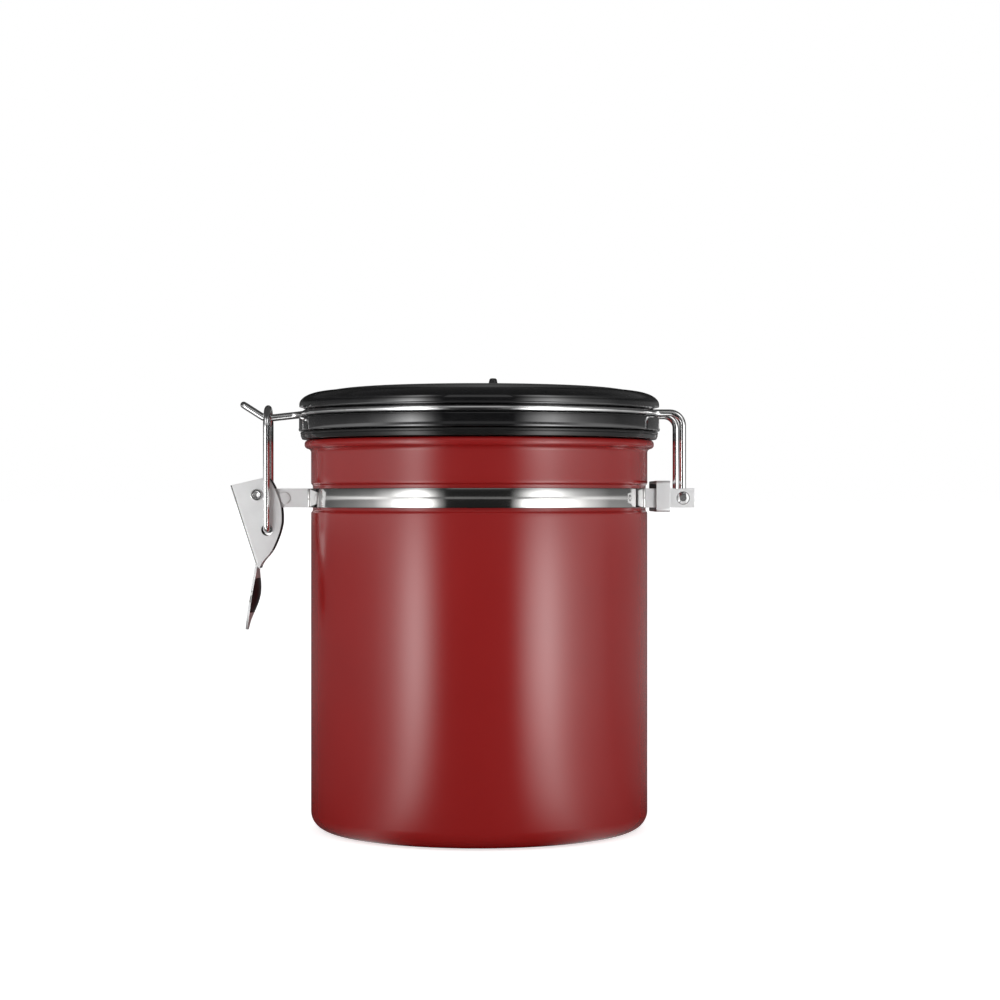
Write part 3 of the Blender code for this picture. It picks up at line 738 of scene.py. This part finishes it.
def can():
    """The steel can: red outside and over the bead, bare inside."""
    low = body_h - bead_h
    roll = bead_roll_w / 2
    groove_low = strap_z - groove_half
    groove_high = strap_z + groove_half
    outer = [(0.0, 0.0)] + arc((body_r - base_fillet, base_fillet), base_fillet, -90, 0, 14)
    outer += softened([(body_r, groove_low - 4 * groove_chamfer, 0.0),
                       (body_r, groove_low - groove_chamfer, groove_round),
                       (groove_r, groove_low, groove_round), (groove_r, groove_high, groove_round),
                       (body_r, groove_high + groove_chamfer, groove_round),
                       (body_r, groove_high + 4 * groove_chamfer, 0.0)])
    outer += arc((body_r + neck_fillet, low - neck_fillet), neck_fillet, 180, 112)
    outer += arc((bead_r - bead_round, low + bead_round), bead_round, -72, 0)
    outer += arc((bead_r - bead_round, body_h - bead_round), bead_round, 0, 90)
    outer += arc((body_r - body_wall + roll, body_h - roll), roll, 90, 180, 6)
    inner_r = body_r - body_wall
    inner_fillet = base_fillet - body_wall
    inner = [(inner_r, groove_high + groove_chamfer), (groove_r - body_wall, groove_high),
             (groove_r - body_wall, groove_low), (inner_r, groove_low - groove_chamfer)]
    inner += arc((inner_r - inner_fillet, body_floor + inner_fillet), inner_fillet, 0, -90, 10)
    inner.append((0.0, body_floor))
    skin = [0] * (len(outer) - 4) + [1] * (len(inner) + 4)
    tied(turned("can", outer + inner, [red, inside], skin=skin), "canister", "canister_body")


def strap_piece(name, side):
    """One half of the clamp strap, from the latch tab round the can to the hinge tab."""
    left_x = -math.sqrt(strap_mid_r ** 2 - latch_tab_y ** 2)
    right_x = math.sqrt(strap_mid_r ** 2 - hinge_tab_y ** 2)
    corners = [((-(body_r + latch_tab_reach), latch_tab_y, 0.0), 0.0),
               ((left_x, latch_tab_y, 0.0), strap_bend)]
    corners += ring_part(strap_mid_r, (left_x, latch_tab_y), (right_x, hinge_tab_y), part_steps,
                         range(3, part_steps - 2), 0.0)
    corners += [((right_x, hinge_tab_y, 0.0), strap_bend),
                ((body_r + hinge_tab_reach, hinge_tab_y, 0.0), 0.0)]
    shape = bmesh.new()
    verts = [shape.verts.new((p.x, side * p.y, strap_z - strap_h / 2)) for p in rounded_path(corners)]
    edges = [shape.edges.new((a, b)) for a, b in zip(verts, verts[1:])]
    grown = bmesh.ops.extrude_edge_only(shape, edges=edges)
    top = [v for v in grown["geom"] if isinstance(v, bmesh.types.BMVert)]
    bmesh.ops.translate(shape, vec=(0.0, 0.0, strap_h), verts=top)
    item = made(name, shape, [strap, steel, painted_shade])
    thick = item.modifiers.new("sheet", "SOLIDIFY")
    thick.thickness = strap_t
    thick.offset = 0.0
    thick.use_even_offset = True
    rivet_x = -(body_r + strap_rivet_reach)
    tools = []
    for label, radius, x, z, y in (("_lever_hole", pivot_r + run_gap, pivot_x, pivot_z, latch_tab_y),
                                   ("_rivet_hole", strap_rivet_r + run_gap, rivet_x, strap_z, latch_tab_y),
                                   ("_hinge_hole", wire_r + hinge_hole_clear, hinge_x, strap_z, hinge_tab_y)):
        tools.append(rod(name + label, radius, strap_t + overrun, (x, side * y, z), "Y"))
        cut(item, tools[-1])
    bevel(item, strap_edge, 3)
    piece = finished(item, tools, "canister", "strap_front" if side < 0 else "strap_rear")
    # The hole walls and rounded rims round each hinge hole are painted shade in the near-black steel; the
    # tabs beyond the bends take the stamped steel.
    for face in piece.data.polygons:
        reach = math.hypot(face.center.x - hinge_x, face.center.z - strap_z)
        if abs(face.normal.y) < 0.97 and reach < wire_r + hinge_hole_clear + hole_rim_w:
            face.material_index = 2
        elif not left_x - strap_bend < face.center.x < right_x + strap_bend:
            face.material_index = 1
    flat_sides(piece, 1)


def rivet(name, x, z, radius, head_r, head_t, half_span, bore_r, mat, node):
    """A rivet along Y with a domed head at each end and, where bore_r is set, a rolled open bore."""
    dome = head_t * rivet_dome_share
    bored = bore_r > 0
    far = half_span + head_t
    corners = [(bore_r, far, dome * bored), (head_r, far, dome), (head_r, half_span, 0.0),
               (radius, half_span, 0.0), (radius, -half_span, 0.0), (head_r, -half_span, 0.0),
               (head_r, -far, dome), (bore_r, -far, dome * bored)]
    item = turned(name, softened(corners, bored, 6), [mat], bored, rivet_steps)
    item.data.transform(Matrix.Translation((x, 0.0, z)) @ Matrix.Rotation(math.pi / 2, 4, "X"))
    tied(item, "canister", node)


def collar():
    """Flat steel loop that holds the two hinge tabs together."""
    x_low = body_r + collar_reach
    mid_z = strap_z + collar_rise
    half_y = hinge_tab_out + seat_gap + collar_t
    half_z = collar_h / 2
    outline, hollow = [softened([(-y, -z, radius), (y, -z, radius), (y, z, radius), (-y, z, radius)], True, 8)
                       for y, z, radius in ((half_y, half_z, collar_round),
                                            (half_y - collar_t, half_z - collar_t, collar_in_round))]
    shape = bmesh.new()
    rings = [[shape.verts.new((x, y, mid_z + z)) for y, z in points]
             for points, x in ((outline, x_low), (outline, x_low + collar_w),
                               (hollow, x_low + collar_w), (hollow, x_low))]
    woven(shape, rings + rings[:1], True)
    item = made("collar", shape, [steel, painted_shade])
    bevel(item, collar_edge, 3)
    piece = finished(item, [], "canister", "hinge_collar")
    # The loop's inner faces and its end faces that point towards the can are painted shade in the near-black
    # steel.
    for face in piece.data.polygons:
        inner = face.normal.y * face.center.y < 0 or abs(face.center.z - mid_z) < half_z - 0.6 * collar_t
        if face.normal.x < -0.7 or (inner and abs(face.center.y) < half_y - 0.6 * collar_t):
            face.material_index = 1
    flat_sides(piece, 0)


def bail():
    """Wire bail: hinge feet, legs, a ring round the lid and a nose for the latch."""
    ring_x = math.sqrt(bail_ring_r ** 2 - leg_y ** 2)
    nose_x = -math.sqrt(bail_ring_r ** 2 - nose_half ** 2)
    half = [((hinge_x, -hinge_tab_out, strap_z), 0.0),
            ((hinge_x, -leg_y, strap_z), leg_foot_bend),
            ((hinge_x, -leg_y, wire_z), leg_top_bend),
            ((ring_x, -leg_y, wire_z), leg_ring_bend)]
    half += ring_part(bail_ring_r, (ring_x, -leg_y), (nose_x, -nose_half), 120, range(7, 111), wire_z)
    half += [((nose_x, -nose_half, wire_z), nose_root_bend),
             ((-(body_r + nose_bend_reach), -nose_half, nose_z), nose_bend),
             ((-(body_r + nose_tip_reach), -nose_half, wire_z + nose_tip_rise), nose_half - head_gap)]
    tied(wire("bail", rounded_path(mirrored(half), 10)), "lid", "bail_wire")


def link():
    """Wire link from the lever over the bail's nose."""
    top_z = nose_z + 2 * wire_r + link_slack
    half = [((link_x, link_end_in - cheek_in, link_z), 0.0), ((link_x, -link_y, link_z), link_foot_bend),
            ((link_x, -link_y, top_z), link_y - head_gap)]
    tied(wire("link", rounded_path(mirrored(half), 24)), "link", "latch_link")


def spoon(root):
    """Dished spoon below the lever's neck, hollow on the outer side."""
    rows = 56
    columns = 28
    shape = bmesh.new()
    grid = []
    for row in range(rows + 1):
        down = row / rows
        swell_at = 1 - spoon_swell_share * (1 - down)
        swell = math.sin(math.pi * min(1.0, swell_at)) ** spoon_swell_power_share
        half_w = spoon_neck_w / 2 + (spoon_w - spoon_neck_w) / 2 * swell
        if down > spoon_round_share:
            tip_at = (down - spoon_round_share) / spoon_tip_share
            half_w = half_w * math.sqrt(max(0.0, 1 - tip_at ** 2))
        line = []
        for column in range(columns + 1):
            across = 2 * column / columns - 1
            dish = spoon_dish * math.sin(math.pi * down) ** spoon_dish_power_share * (1 - across ** 2)
            x = root.x - spoon_sweep * down + dish + spoon_t / 2
            z = root.y + spoon_root_up - (spoon_len + spoon_root_up) * down
            line.append(shape.verts.new((x, across * half_w, z)))
        grid.append(line)
    woven(shape, grid)
    item = made("spoon", shape, [strap, painted_shade, steel])
    thick = item.modifiers.new("sheet", "SOLIDIFY")
    thick.thickness = spoon_t
    thick.offset = 0.0
    bevel(item, spoon_edge, 4)
    sheet = baked(item, 60)
    # A band across the middle of the spoon's hollow side takes the near-black steel, which makes it dark; the
    # rest of that side and the edges take the stamped steel, and the back stays polished strap steel.
    for face in sheet.data.polygons:
        down = (root.y + spoon_root_up - face.center.z) / (spoon_len + spoon_root_up)
        if face.normal.x > 0.3 and 0.26 < down < 0.76:
            face.material_index = 1
        elif face.normal.x > -0.55:
            face.material_index = 2
    return sheet


def flowing(points, steps):
    """A smooth line through a list of points."""
    line = []
    padded = [points[0]] + list(points) + [points[-1]]
    for a, b, c, d in zip(padded, padded[1:], padded[2:], padded[3:]):
        for i in range(steps):
            t = i / steps
            line.append(tuple(b[k] + 0.5 * t * (c[k] - a[k] + t * (2 * a[k] - 5 * b[k] + 4 * c[k] - d[k]
                        + t * (3 * b[k] - 3 * c[k] + d[k] - a[k]))) for k in (0, 1)))
    return line + [tuple(points[-1])]


def lever():
    """Folded steel lever: two cheeks, a rounded fold along the outer edge and a thumb spoon."""
    corners = [(share_x * cheek_w - cheek_back, cheek_top - share_z * cheek_h)
               for share_x, share_z in cheek_outline_shares]
    outline = [corners[0]] + flowing(corners[1:-1], 6) + [corners[-1]]
    top = Vector(corners[0])
    low = Vector(corners[-1])
    along = (low - top).normalized()
    inward = Vector((-along.y, along.x))

    def on_fold(a, b):
        offsets = [abs((Vector((p.x, p.z)) - top).dot(inward)) for p in (a, b)]
        return max(offsets) < 0.5 * lever_t and (a - b).length > cheek_h / 2

    item = prism("lever", outline, cheek_out, [steel, painted_shade, strap], on_fold)
    bevel(item, fold_round, 8, "WEIGHT")
    first = top + inward * lever_t - along * cheek_top
    last = top + inward * lever_t + along * (low - top).length * channel_end_share
    right = cheek_w + overrun
    through = 2 * cheek_out + overrun
    hollow = [tuple(first), tuple(last), (right, last.y), (right, first.y)]
    tools = [prism("lever_hollow", hollow, cheek_in, []),
             rod("lever_pivot_hole", pivot_r + run_gap, through, (0.0, 0.0, 0.0), "Y"),
             rod("lever_link_hole", wire_r + link_hole_clear, through,
                 (link_pivot_in, 0.0, -link_pivot_drop), "Y")]
    for tool in tools:
        cut(item, tool)
    bevel(item, cheek_edge, 3)
    shell = baked(item)
    # The channel's inner faces are painted shade in the near-black steel; the faces round the fold take the
    # polished strap steel.
    for face in shell.data.polygons:
        away = (Vector((face.center.x, face.center.z)) - top).dot(inward)
        inner = abs(face.center.y) < cheek_in + head_gap / 2
        if inner and face.normal.y * face.center.y <= 0.0 and away > 0.9 * lever_t:
            face.material_index = 1
        elif abs(away) < 1.2 * lever_t and abs(face.normal.y) < 0.93:
            face.material_index = 2
    scoop = spoon(low)
    cut(shell, scoop, "UNION").material_mode = "TRANSFER"
    for item in (shell, scoop):
        item.location = (pivot_x, 0.0, pivot_z)
    flat_sides(finished(shell, tools + [scoop], "lever", "latch_lever"), 0)


def gasket():
    """Soft ring between the lid's flange and the rim, with a lip groove round its side."""
    high = gasket_z + gasket_h
    groove_z = gasket_z + gasket_lip_share * gasket_h
    corners = [(gasket_bore_r, high, seat_round), (gasket_r, high, gasket_round),
               (gasket_r, groove_z + gasket_lip_h, lip_round),
               (gasket_r - gasket_lip_in, groove_z, lip_round),
               (gasket_r - gasket_step_in, groove_z - gasket_lip_h, lip_round),
               (gasket_low_r, gasket_z, gasket_round), (gasket_bore_r, gasket_z, seat_round)]
    piece = turned("gasket", softened(corners, True, 6), [gasket_rubber], True, sharp=50)
    tied(piece, "lid", "lid_gasket")


def lower_lid():
    """Lower lid: plug, flange that presses the gasket, and the seat of the bail ring."""
    mid_z = (gasket_z + floor_z) / 2
    pocket_r = filter_r + seat_gap
    pocket_z = floor_z + filter_t + seat_gap
    corners = [(0.0, floor_z + lid_wall, 0.0), (plug_low_r - lid_wall, floor_z + lid_wall, plug_round),
               (plug_mid_r - lid_wall, mid_z + lid_wall, plug_round),
               (plug_r - lid_wall, flange_z, plug_round),
               (neck_r - lid_wall, flange_z + lid_wall, plug_round), (neck_r - lid_wall, cap_z, 0.0),
               (neck_r, cap_z, seat_round), (neck_r, flange_top_z, neck_round),
               (flange_r, flange_top_z, flange_round), (flange_r, flange_z, flange_round),
               (plug_r, flange_z, plug_root_round), (plug_r, gasket_z, plug_round),
               (plug_mid_r, mid_z, plug_foot_round), (plug_low_r, floor_z, plug_foot_round),
               (pocket_r, floor_z, plug_root_round), (pocket_r, pocket_z, 0.0), (0.0, pocket_z, 0.0)]
    item = turned("lower_lid", softened(corners, False, 6), [gloss])
    tools = side_blocks("flange_flat", flange_r - flat_depth, flange_r, flat_half, flange_z + flat_lip,
                        flange_top_z + overrun)
    for i in range(valve_ports):
        angle = math.tau * i / valve_ports
        tools.append(rod("lid_port_%d" % i, valve_port_r, 2 * lid_wall + overrun,
                         polar(valve_port_ring, angle, floor_z + lid_wall), "Z"))
    for tool in tools:
        cut(item, tool)
    finished(item, tools, "lid", "lid_base", 30)


def upper_lid():
    """Glossy domed cap with a round well for the dial and a hole for the valve."""
    shoulder_z = cap_z + cap_lip_h
    rim = [(cap_crown_r + cap_round_w * math.cos(math.radians(a)),
            shoulder_z + cap_round_h * math.sin(math.radians(a))) for a in range(84, -1, -6)]
    well_r = dial_r + seat_gap
    crown_in_r = well_r + dial_edge
    roof_z = well_z - dial_well_wall
    hole_r = valve_r + seat_gap
    inner_r = neck_r - lid_wall - seat_gap
    profile = [(hole_r, well_z), (well_r, well_z), (well_r, crown_z - dial_edge), (crown_in_r, crown_z)]
    for share in [k / 9 for k in range(1, 9)]:
        profile.append((crown_in_r + (cap_crown_r - crown_in_r) * share,
                        cap_top_z + cap_crown_rise * (1 - share ** 4)))
    profile += [(cap_crown_r, cap_top_z)] + rim
    profile += softened([(cap_r, shoulder_z, 0.0), (cap_r, cap_z, cap_foot_round),
                         (neck_r + seat_gap, cap_z, cap_seat_round),
                         (neck_r + seat_gap, cap_z + seat_gap, 0.0)], False, 6)[1:]
    profile += [(inner_r, cap_z + seat_gap), (inner_r, cap_z - cap_snap_h),
                (inner_r - cap_wall, cap_z - cap_snap_h), (inner_r - cap_wall, shoulder_z),
                (cap_crown_r - cap_wall, roof_z), (hole_r, roof_z)]
    item = turned("upper_lid", profile, [gloss], True)
    tools = side_blocks("cap_notch", neck_r + seat_gap, cap_r, cap_notch_half, cap_z - overrun,
                        cap_z + cap_notch_h)
    for tool in tools:
        cut(item, tool)
    finished(item, tools, "lid", "lid_cap", 30)


def number_marks():
    """The numbers 1 to 31 and their ticks, printed round the dial."""
    shape = bmesh.new()
    for day in range(1, days + 1):
        angle = math.pi / 2 - math.tau * (day - 1) / days
        turn = Matrix.Rotation(angle - math.pi / 2, 4, "Z")
        number_place, tick_place = [
            Matrix.Translation(polar(r, angle, dial_z + dial_t + print_t)) @ turn
            for r in (dial_r - number_in, dial_r - tick_in)]
        letters = bpy.data.curves.new("day_%d" % day, "FONT")
        letters.body = str(day)
        letters.size = number_size
        letters.align_x = "CENTER"
        letters.align_y = "CENTER"
        letters.extrude = print_t
        letters.resolution_u = 4
        mesh = drawn(add_object("day_%d" % day, letters, []))
        mesh.transform(number_place)
        shape.from_mesh(mesh)
        tick_size = Matrix.Diagonal((tick_w, tick_len, 2 * print_t, 1.0))
        bmesh.ops.create_cube(shape, size=1.0, matrix=tick_place @ tick_size)
    tied(made("dial_numbers", shape, [ink], faces_out=False), "dial")


def dial():
    """Turning date ring with a finger nub."""
    top = dial_z + dial_t
    ledge_r = dial_bore_r - dial_ledge_w
    ledge_z = dial_z + dial_ledge_t
    corners = [(dial_bore_r, top, dial_edge), (dial_r, top, dial_edge), (dial_r, dial_z, lip_round),
               (ledge_r, dial_z, lip_round), (ledge_r, ledge_z, lip_round), (dial_bore_r, ledge_z, 0.0)]
    item = turned("dial", softened(corners, True, 5), [dial_black], True)
    root_z = top - dial_t / 2
    corners = [(0.0, top + nub_h, 0.0), (nub_top_r, top + nub_h, nub_top_round),
               (nub_r, top + nub_foot, nub_foot_round), (nub_r + nub_flare, top, 0.0),
               (nub_r, root_z, 0.0), (0.0, root_z, 0.0)]
    nub = turned("nub", softened(corners, False, 6), [dial_black], False, small_round_steps)
    nub.location = (nub_side, -math.sqrt(nub_reach ** 2 - nub_side ** 2), 0.0)
    cut(item, nub, "UNION")
    finished(item, [nub], "dial", "date_dial")


def vent():
    """Slotted cover pressed into the valve cup."""
    in_r = valve_r - valve_wall - seat_gap
    low_z = valve_rim_z + head_gap
    top_z = low_z + vent_cap_t
    foot_z = low_z - vent_cap_skirt
    rim_r = dial_bore_r - seat_gap
    corners = [(0.0, top_z, 0.0), (rim_r, top_z, dial_edge), (rim_r, low_z, lip_round), (in_r, low_z, 0.0),
               (in_r, foot_z, lip_round), (in_r - valve_wall, foot_z, lip_round),
               (in_r - valve_wall, low_z, 0.0), (0.0, low_z, 0.0)]
    item = turned("vent", softened(corners, False, 5), [valve_black], False, part_steps)
    tools = []
    for i in range(vent_slots):
        angle = math.tau * i / vent_slots
        slot = block("vent_slot_%d" % i, (-vent_slot_len / 2, -vent_slot_w / 2, low_z - overrun),
                     (vent_slot_len / 2, vent_slot_w / 2, top_z + overrun),
                     lambda a, b: abs(a.z - b.z) > overrun)
        bevel(slot, vent_slot_w / 2 - weld, 6, "WEIGHT")
        slot.location = polar(vent_slot_ring, angle)
        slot.rotation_euler = (0.0, 0.0, angle)
        cut(item, slot)
        tools.append(slot)
    bevel(item, slot_edge, 2)
    finished(item, tools, "lid", "vent_cap")


can()
strap_piece("front_strap", -1)
strap_piece("back_strap", 1)
rivet("tab_rivet", -(body_r + strap_rivet_reach), strap_z, strap_rivet_r, strap_rivet_head_r,
      strap_rivet_head_t, latch_tab_out + head_gap, 0.0, steel, "strap_rivet")
rivet("lever_pin", pivot_x, pivot_z, pivot_r, pivot_head_r, pivot_head_t, cheek_out + head_gap, pivot_bore_r,
      bright, "lever_rivet")
for build in (collar, bail, link, lever, gasket, lower_lid, upper_lid, dial, number_marks, vent):
    build()
for node, mat in (("valve_body", valve_black), ("valve_disc", disc_rubber), ("filter_disc", gauze)):
    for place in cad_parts[node].material_slots:
        place.material = mat


def choose_by_ray(look, lighting, seen, output):
    """Show one shader to the rays that light the object and another to the rest."""
    both = look.add("MixShader", {0: look.seen_directly(), 1: lighting, 2: seen}).outputs[0]
    look.feed(look.nodes[output], "Surface", both)


def white_world():
    """White surround that lights the object as a soft grey one."""
    world = bpy.data.worlds.new("studio")
    bpy.context.scene.world = world
    look = Look(world)
    back = look.nodes["Background"]
    look.feed(back, "Color", (ambient_level, ambient_level, ambient_level, 1.0))
    plain = look.add("Background", {"Color": (1.0, 1.0, 1.0, 1.0)})
    choose_by_ray(look, back.outputs[0], plain.outputs[0], "World Output")


def pale_floor():
    """A wide pale floor that keeps the object's soft shadow."""
    shape = bmesh.new()
    bmesh.ops.create_grid(shape, x_segments=1, y_segments=1, size=floor_half)
    look = Finish("pale_floor")
    look.keep("Base Color", (0.86, 0.86, 0.86, 1.0))
    look.keep("Roughness", 0.9)
    glow = look.add("Emission", {"Strength": 0.66}).outputs[0]
    both = look.add("AddShader", {0: look.skin.outputs[0], 1: glow}).outputs[0]
    choose_by_ray(look, look.skin.outputs[0], both, "Material Output")
    floor = made("floor", shape, [look.mat], faces_out=False)
    floor.location = (0.0, 0.0, -floor_drop)


def curved_wall(name, start, end, rows, mat, unseen_by):
    """Part of a turned surface round the object, between two angles from the front."""
    steps = 60
    turns = [math.radians(start + (end - start) * i / steps) for i in range(steps + 1)]
    shape = bmesh.new()
    grid = [[shape.verts.new((far * math.sin(turn), -far * math.cos(turn), z)) for turn in turns]
            for far, z in rows]
    woven(shape, grid)
    item = made(name, shape, [mat], faces_out=False)
    for ray in unseen_by:
        setattr(item, "visible_" + ray, False)


class Glow(Look):
    """An emitting material that changes round the object and with height."""

    def __init__(self, name):
        super().__init__(bpy.data.materials.new(name))
        self.nodes.remove(self.nodes["Principled BSDF"])
        self.glow = self.add("Emission")
        self.feed(self.nodes["Material Output"], "Surface", self.glow.outputs[0])
        place = self.apart()
        turn = self.math("ARCTAN2", place["X"], self.math("MULTIPLY", place["Y"], -1.0))
        self.turn_share = self.math("DIVIDE", self.math("ABSOLUTE", turn), math.pi)
        self.height_share = self.math("DIVIDE", place["Z"], tent_top)

    def by_turn(self, stops, most):
        """Brightness from (degrees from the front, level) stops."""
        return self.level(self.turn_share, [(angle / 180, level) for angle, level in stops], most)

    def by_height(self, stops):
        """Brightness from (height, level) stops."""
        return self.level(self.height_share, [(z / tent_top, level) for z, level in stops])

    def shine(self, *levels):
        """Glow as strongly as the product of some levels."""
        strength = levels[0]
        for level in levels[1:]:
            strength = self.math("MULTIPLY", strength, level)
        self.feed(self.glow, "Strength", strength)


def light_panel(name, start, end):
    """A soft panel that lights the object."""
    look = Glow(name)
    look.shine(look.by_turn(panel_levels, panel_most), look.by_height(panel_heights))
    curved_wall(name, start, end, outer_wall, look.mat, ("camera", "glossy"))


def card(name, start, end, rows, narrow, broad, heights):
    """A card that only reflections see: a narrow pattern, and a broad one at the strap's height."""
    look = Glow(name)
    band = look.by_height(band_heights)
    blend = look.add("Mix", {0: band, 2: look.by_turn(narrow, card_most), 3: look.by_turn(broad, card_most)})
    length = look.add("VectorMath", {0: look.add("TexCoord").outputs["Object"]}, operation="LENGTH")
    away = look.math("DIVIDE", length.outputs["Value"], tent_r)
    look.shine(blend.outputs[0], look.by_height(heights), look.level(away, floor_levels))
    curved_wall(name, start, end, rows, look.mat, ("camera", "diffuse", "shadow"))


def camera():
    """Camera level with the strap, a little right of the can's middle."""
    lens = bpy.data.cameras.new("camera")
    lens.lens = 83.0
    lens.sensor_width = 36.0
    lens.shift_y = -0.002
    lens.clip_start = 0.01
    item = bpy.data.objects.new("camera", lens)
    bpy.context.scene.collection.objects.link(item)
    item.location = (camera_x, -camera_away, camera_z)
    item.rotation_euler = (math.pi / 2, 0.0, 0.0)
    bpy.context.scene.camera = item


# Studio places, in metres
floor_half = 60.0
floor_drop = 0.0004
card_rise = 0.0002
tent_r = 0.6
tent_top = 0.7
wall = ((tent_r, 0.0), (tent_r, tent_top))
outer_wall = ((tent_r + mm, 0.0), (tent_r + mm, tent_top))
floor_ring = ((0.052, card_rise), (0.075, card_rise), (tent_r, card_rise))
ceiling = ((0.001, tent_top), (tent_r, tent_top))
camera_x = 7.4 * mm
camera_away = 825.0 * mm
camera_z = 117.2 * mm

# Studio angles, in degrees from the front
front_turn = 20.5
panel_start = 24
panel_end = 125

# Studio levels, by height, by distance and by angle
ambient_level = 0.55
panel_most = 5.0
card_most = 8.0
top_level = 0.06
panel_heights = ((0.0, 1.0), (0.45 * tent_top, 1.0), (tent_top, 0.3))
panel_levels = ((24, 0.5), (33, 1.4), (43, 3.2), (51, 3.2), (60, 1.9), (74, 1.1), (95, 0.75), (125, 0.4))
band_heights = ((0.0, 0.0), (0.099, 0.0), (0.107, 1.0), (0.129, 1.0), (0.137, 0.0))
floor_levels = ((0.0, 0.1), (0.13, 0.1), (0.28, 0.42), (0.63, 0.68), (0.98, 1.0))
left_narrow = ((20, 0.02), (25, 0.6), (30, 2.4), (35, 5.4), (40, 7.4), (45, 6.0), (51, 3.4), (58, 1.6),
               (71, 0.6), (88, 0.36), (115, 0.2), (150, 0.15), (170, 0.06), (175, 0.3), (180, 0.5))
left_broad = ((20, 0.24), (33, 0.32), (44, 0.48), (52, 1.1), (60, 1.9), (71, 2.2), (85, 1.7), (100, 1.3),
              (119, 0.75), (150, 0.28), (180, 0.3))
right_narrow = ((20, 0.02), (25, 1.0), (30, 3.1), (35, 5.4), (40, 7.2), (45, 7.9), (50, 6.0), (57, 3.5),
                (64, 2.2), (74, 1.3), (94, 0.46), (115, 0.4), (150, 0.3), (170, 0.06), (175, 0.3),
                (180, 0.5))
right_broad = ((20, 0.36), (33, 0.45), (45, 0.65), (54, 1.3), (62, 2.0), (72, 2.2), (82, 2.0), (94, 1.45),
               (111, 1.12), (130, 0.7), (150, 0.25), (180, 0.3))
front_narrow = ((0, 0.45), (21, 0.45))
front_broad = ((0, 5.2), (21, 6.0))
top_pattern = ((0, top_level), (180, top_level))
high_heights = ((0.25, 0.14), (0.36, 0.14), (0.42, 0.32), (0.69, 0.2))
left_heights = ((0.0, 0.92), (0.03, 1.0), (0.085, 0.8), (0.15, 0.72), (0.19, 0.5)) + high_heights
right_heights = ((0.0, 0.95), (0.03, 1.0), (0.085, 0.86), (0.15, 0.45), (0.19, 0.4)) + high_heights
front_heights = ((0.0, 0.05), (0.24, 0.05), (0.34, 1.0), (0.69, 1.0))
even_heights = ((0.0, 1.0), (tent_top, 1.0))

white_world()
pale_floor()
for side, narrow, broad, heights, label in ((-1, left_narrow, left_broad, left_heights, "left"),
                                            (1, right_narrow, right_broad, right_heights, "right")):
    light_panel("panel_" + label, panel_start * side, panel_end * side)
    card("card_" + label, front_turn * side, 180 * side, wall, narrow, broad, heights)
    card("floor_card_" + label, front_turn * side, 180 * side, floor_ring, narrow, narrow, heights)
card("front_card", -front_turn, front_turn, wall, front_narrow, front_broad, front_heights)
card("floor_card_front", -front_turn, front_turn, floor_ring, front_narrow, front_narrow, front_heights)
card("top_card", -180, 180, ceiling, top_pattern, top_pattern, even_heights)
camera()
bpy.context.scene.view_settings.view_transform = "Standard"
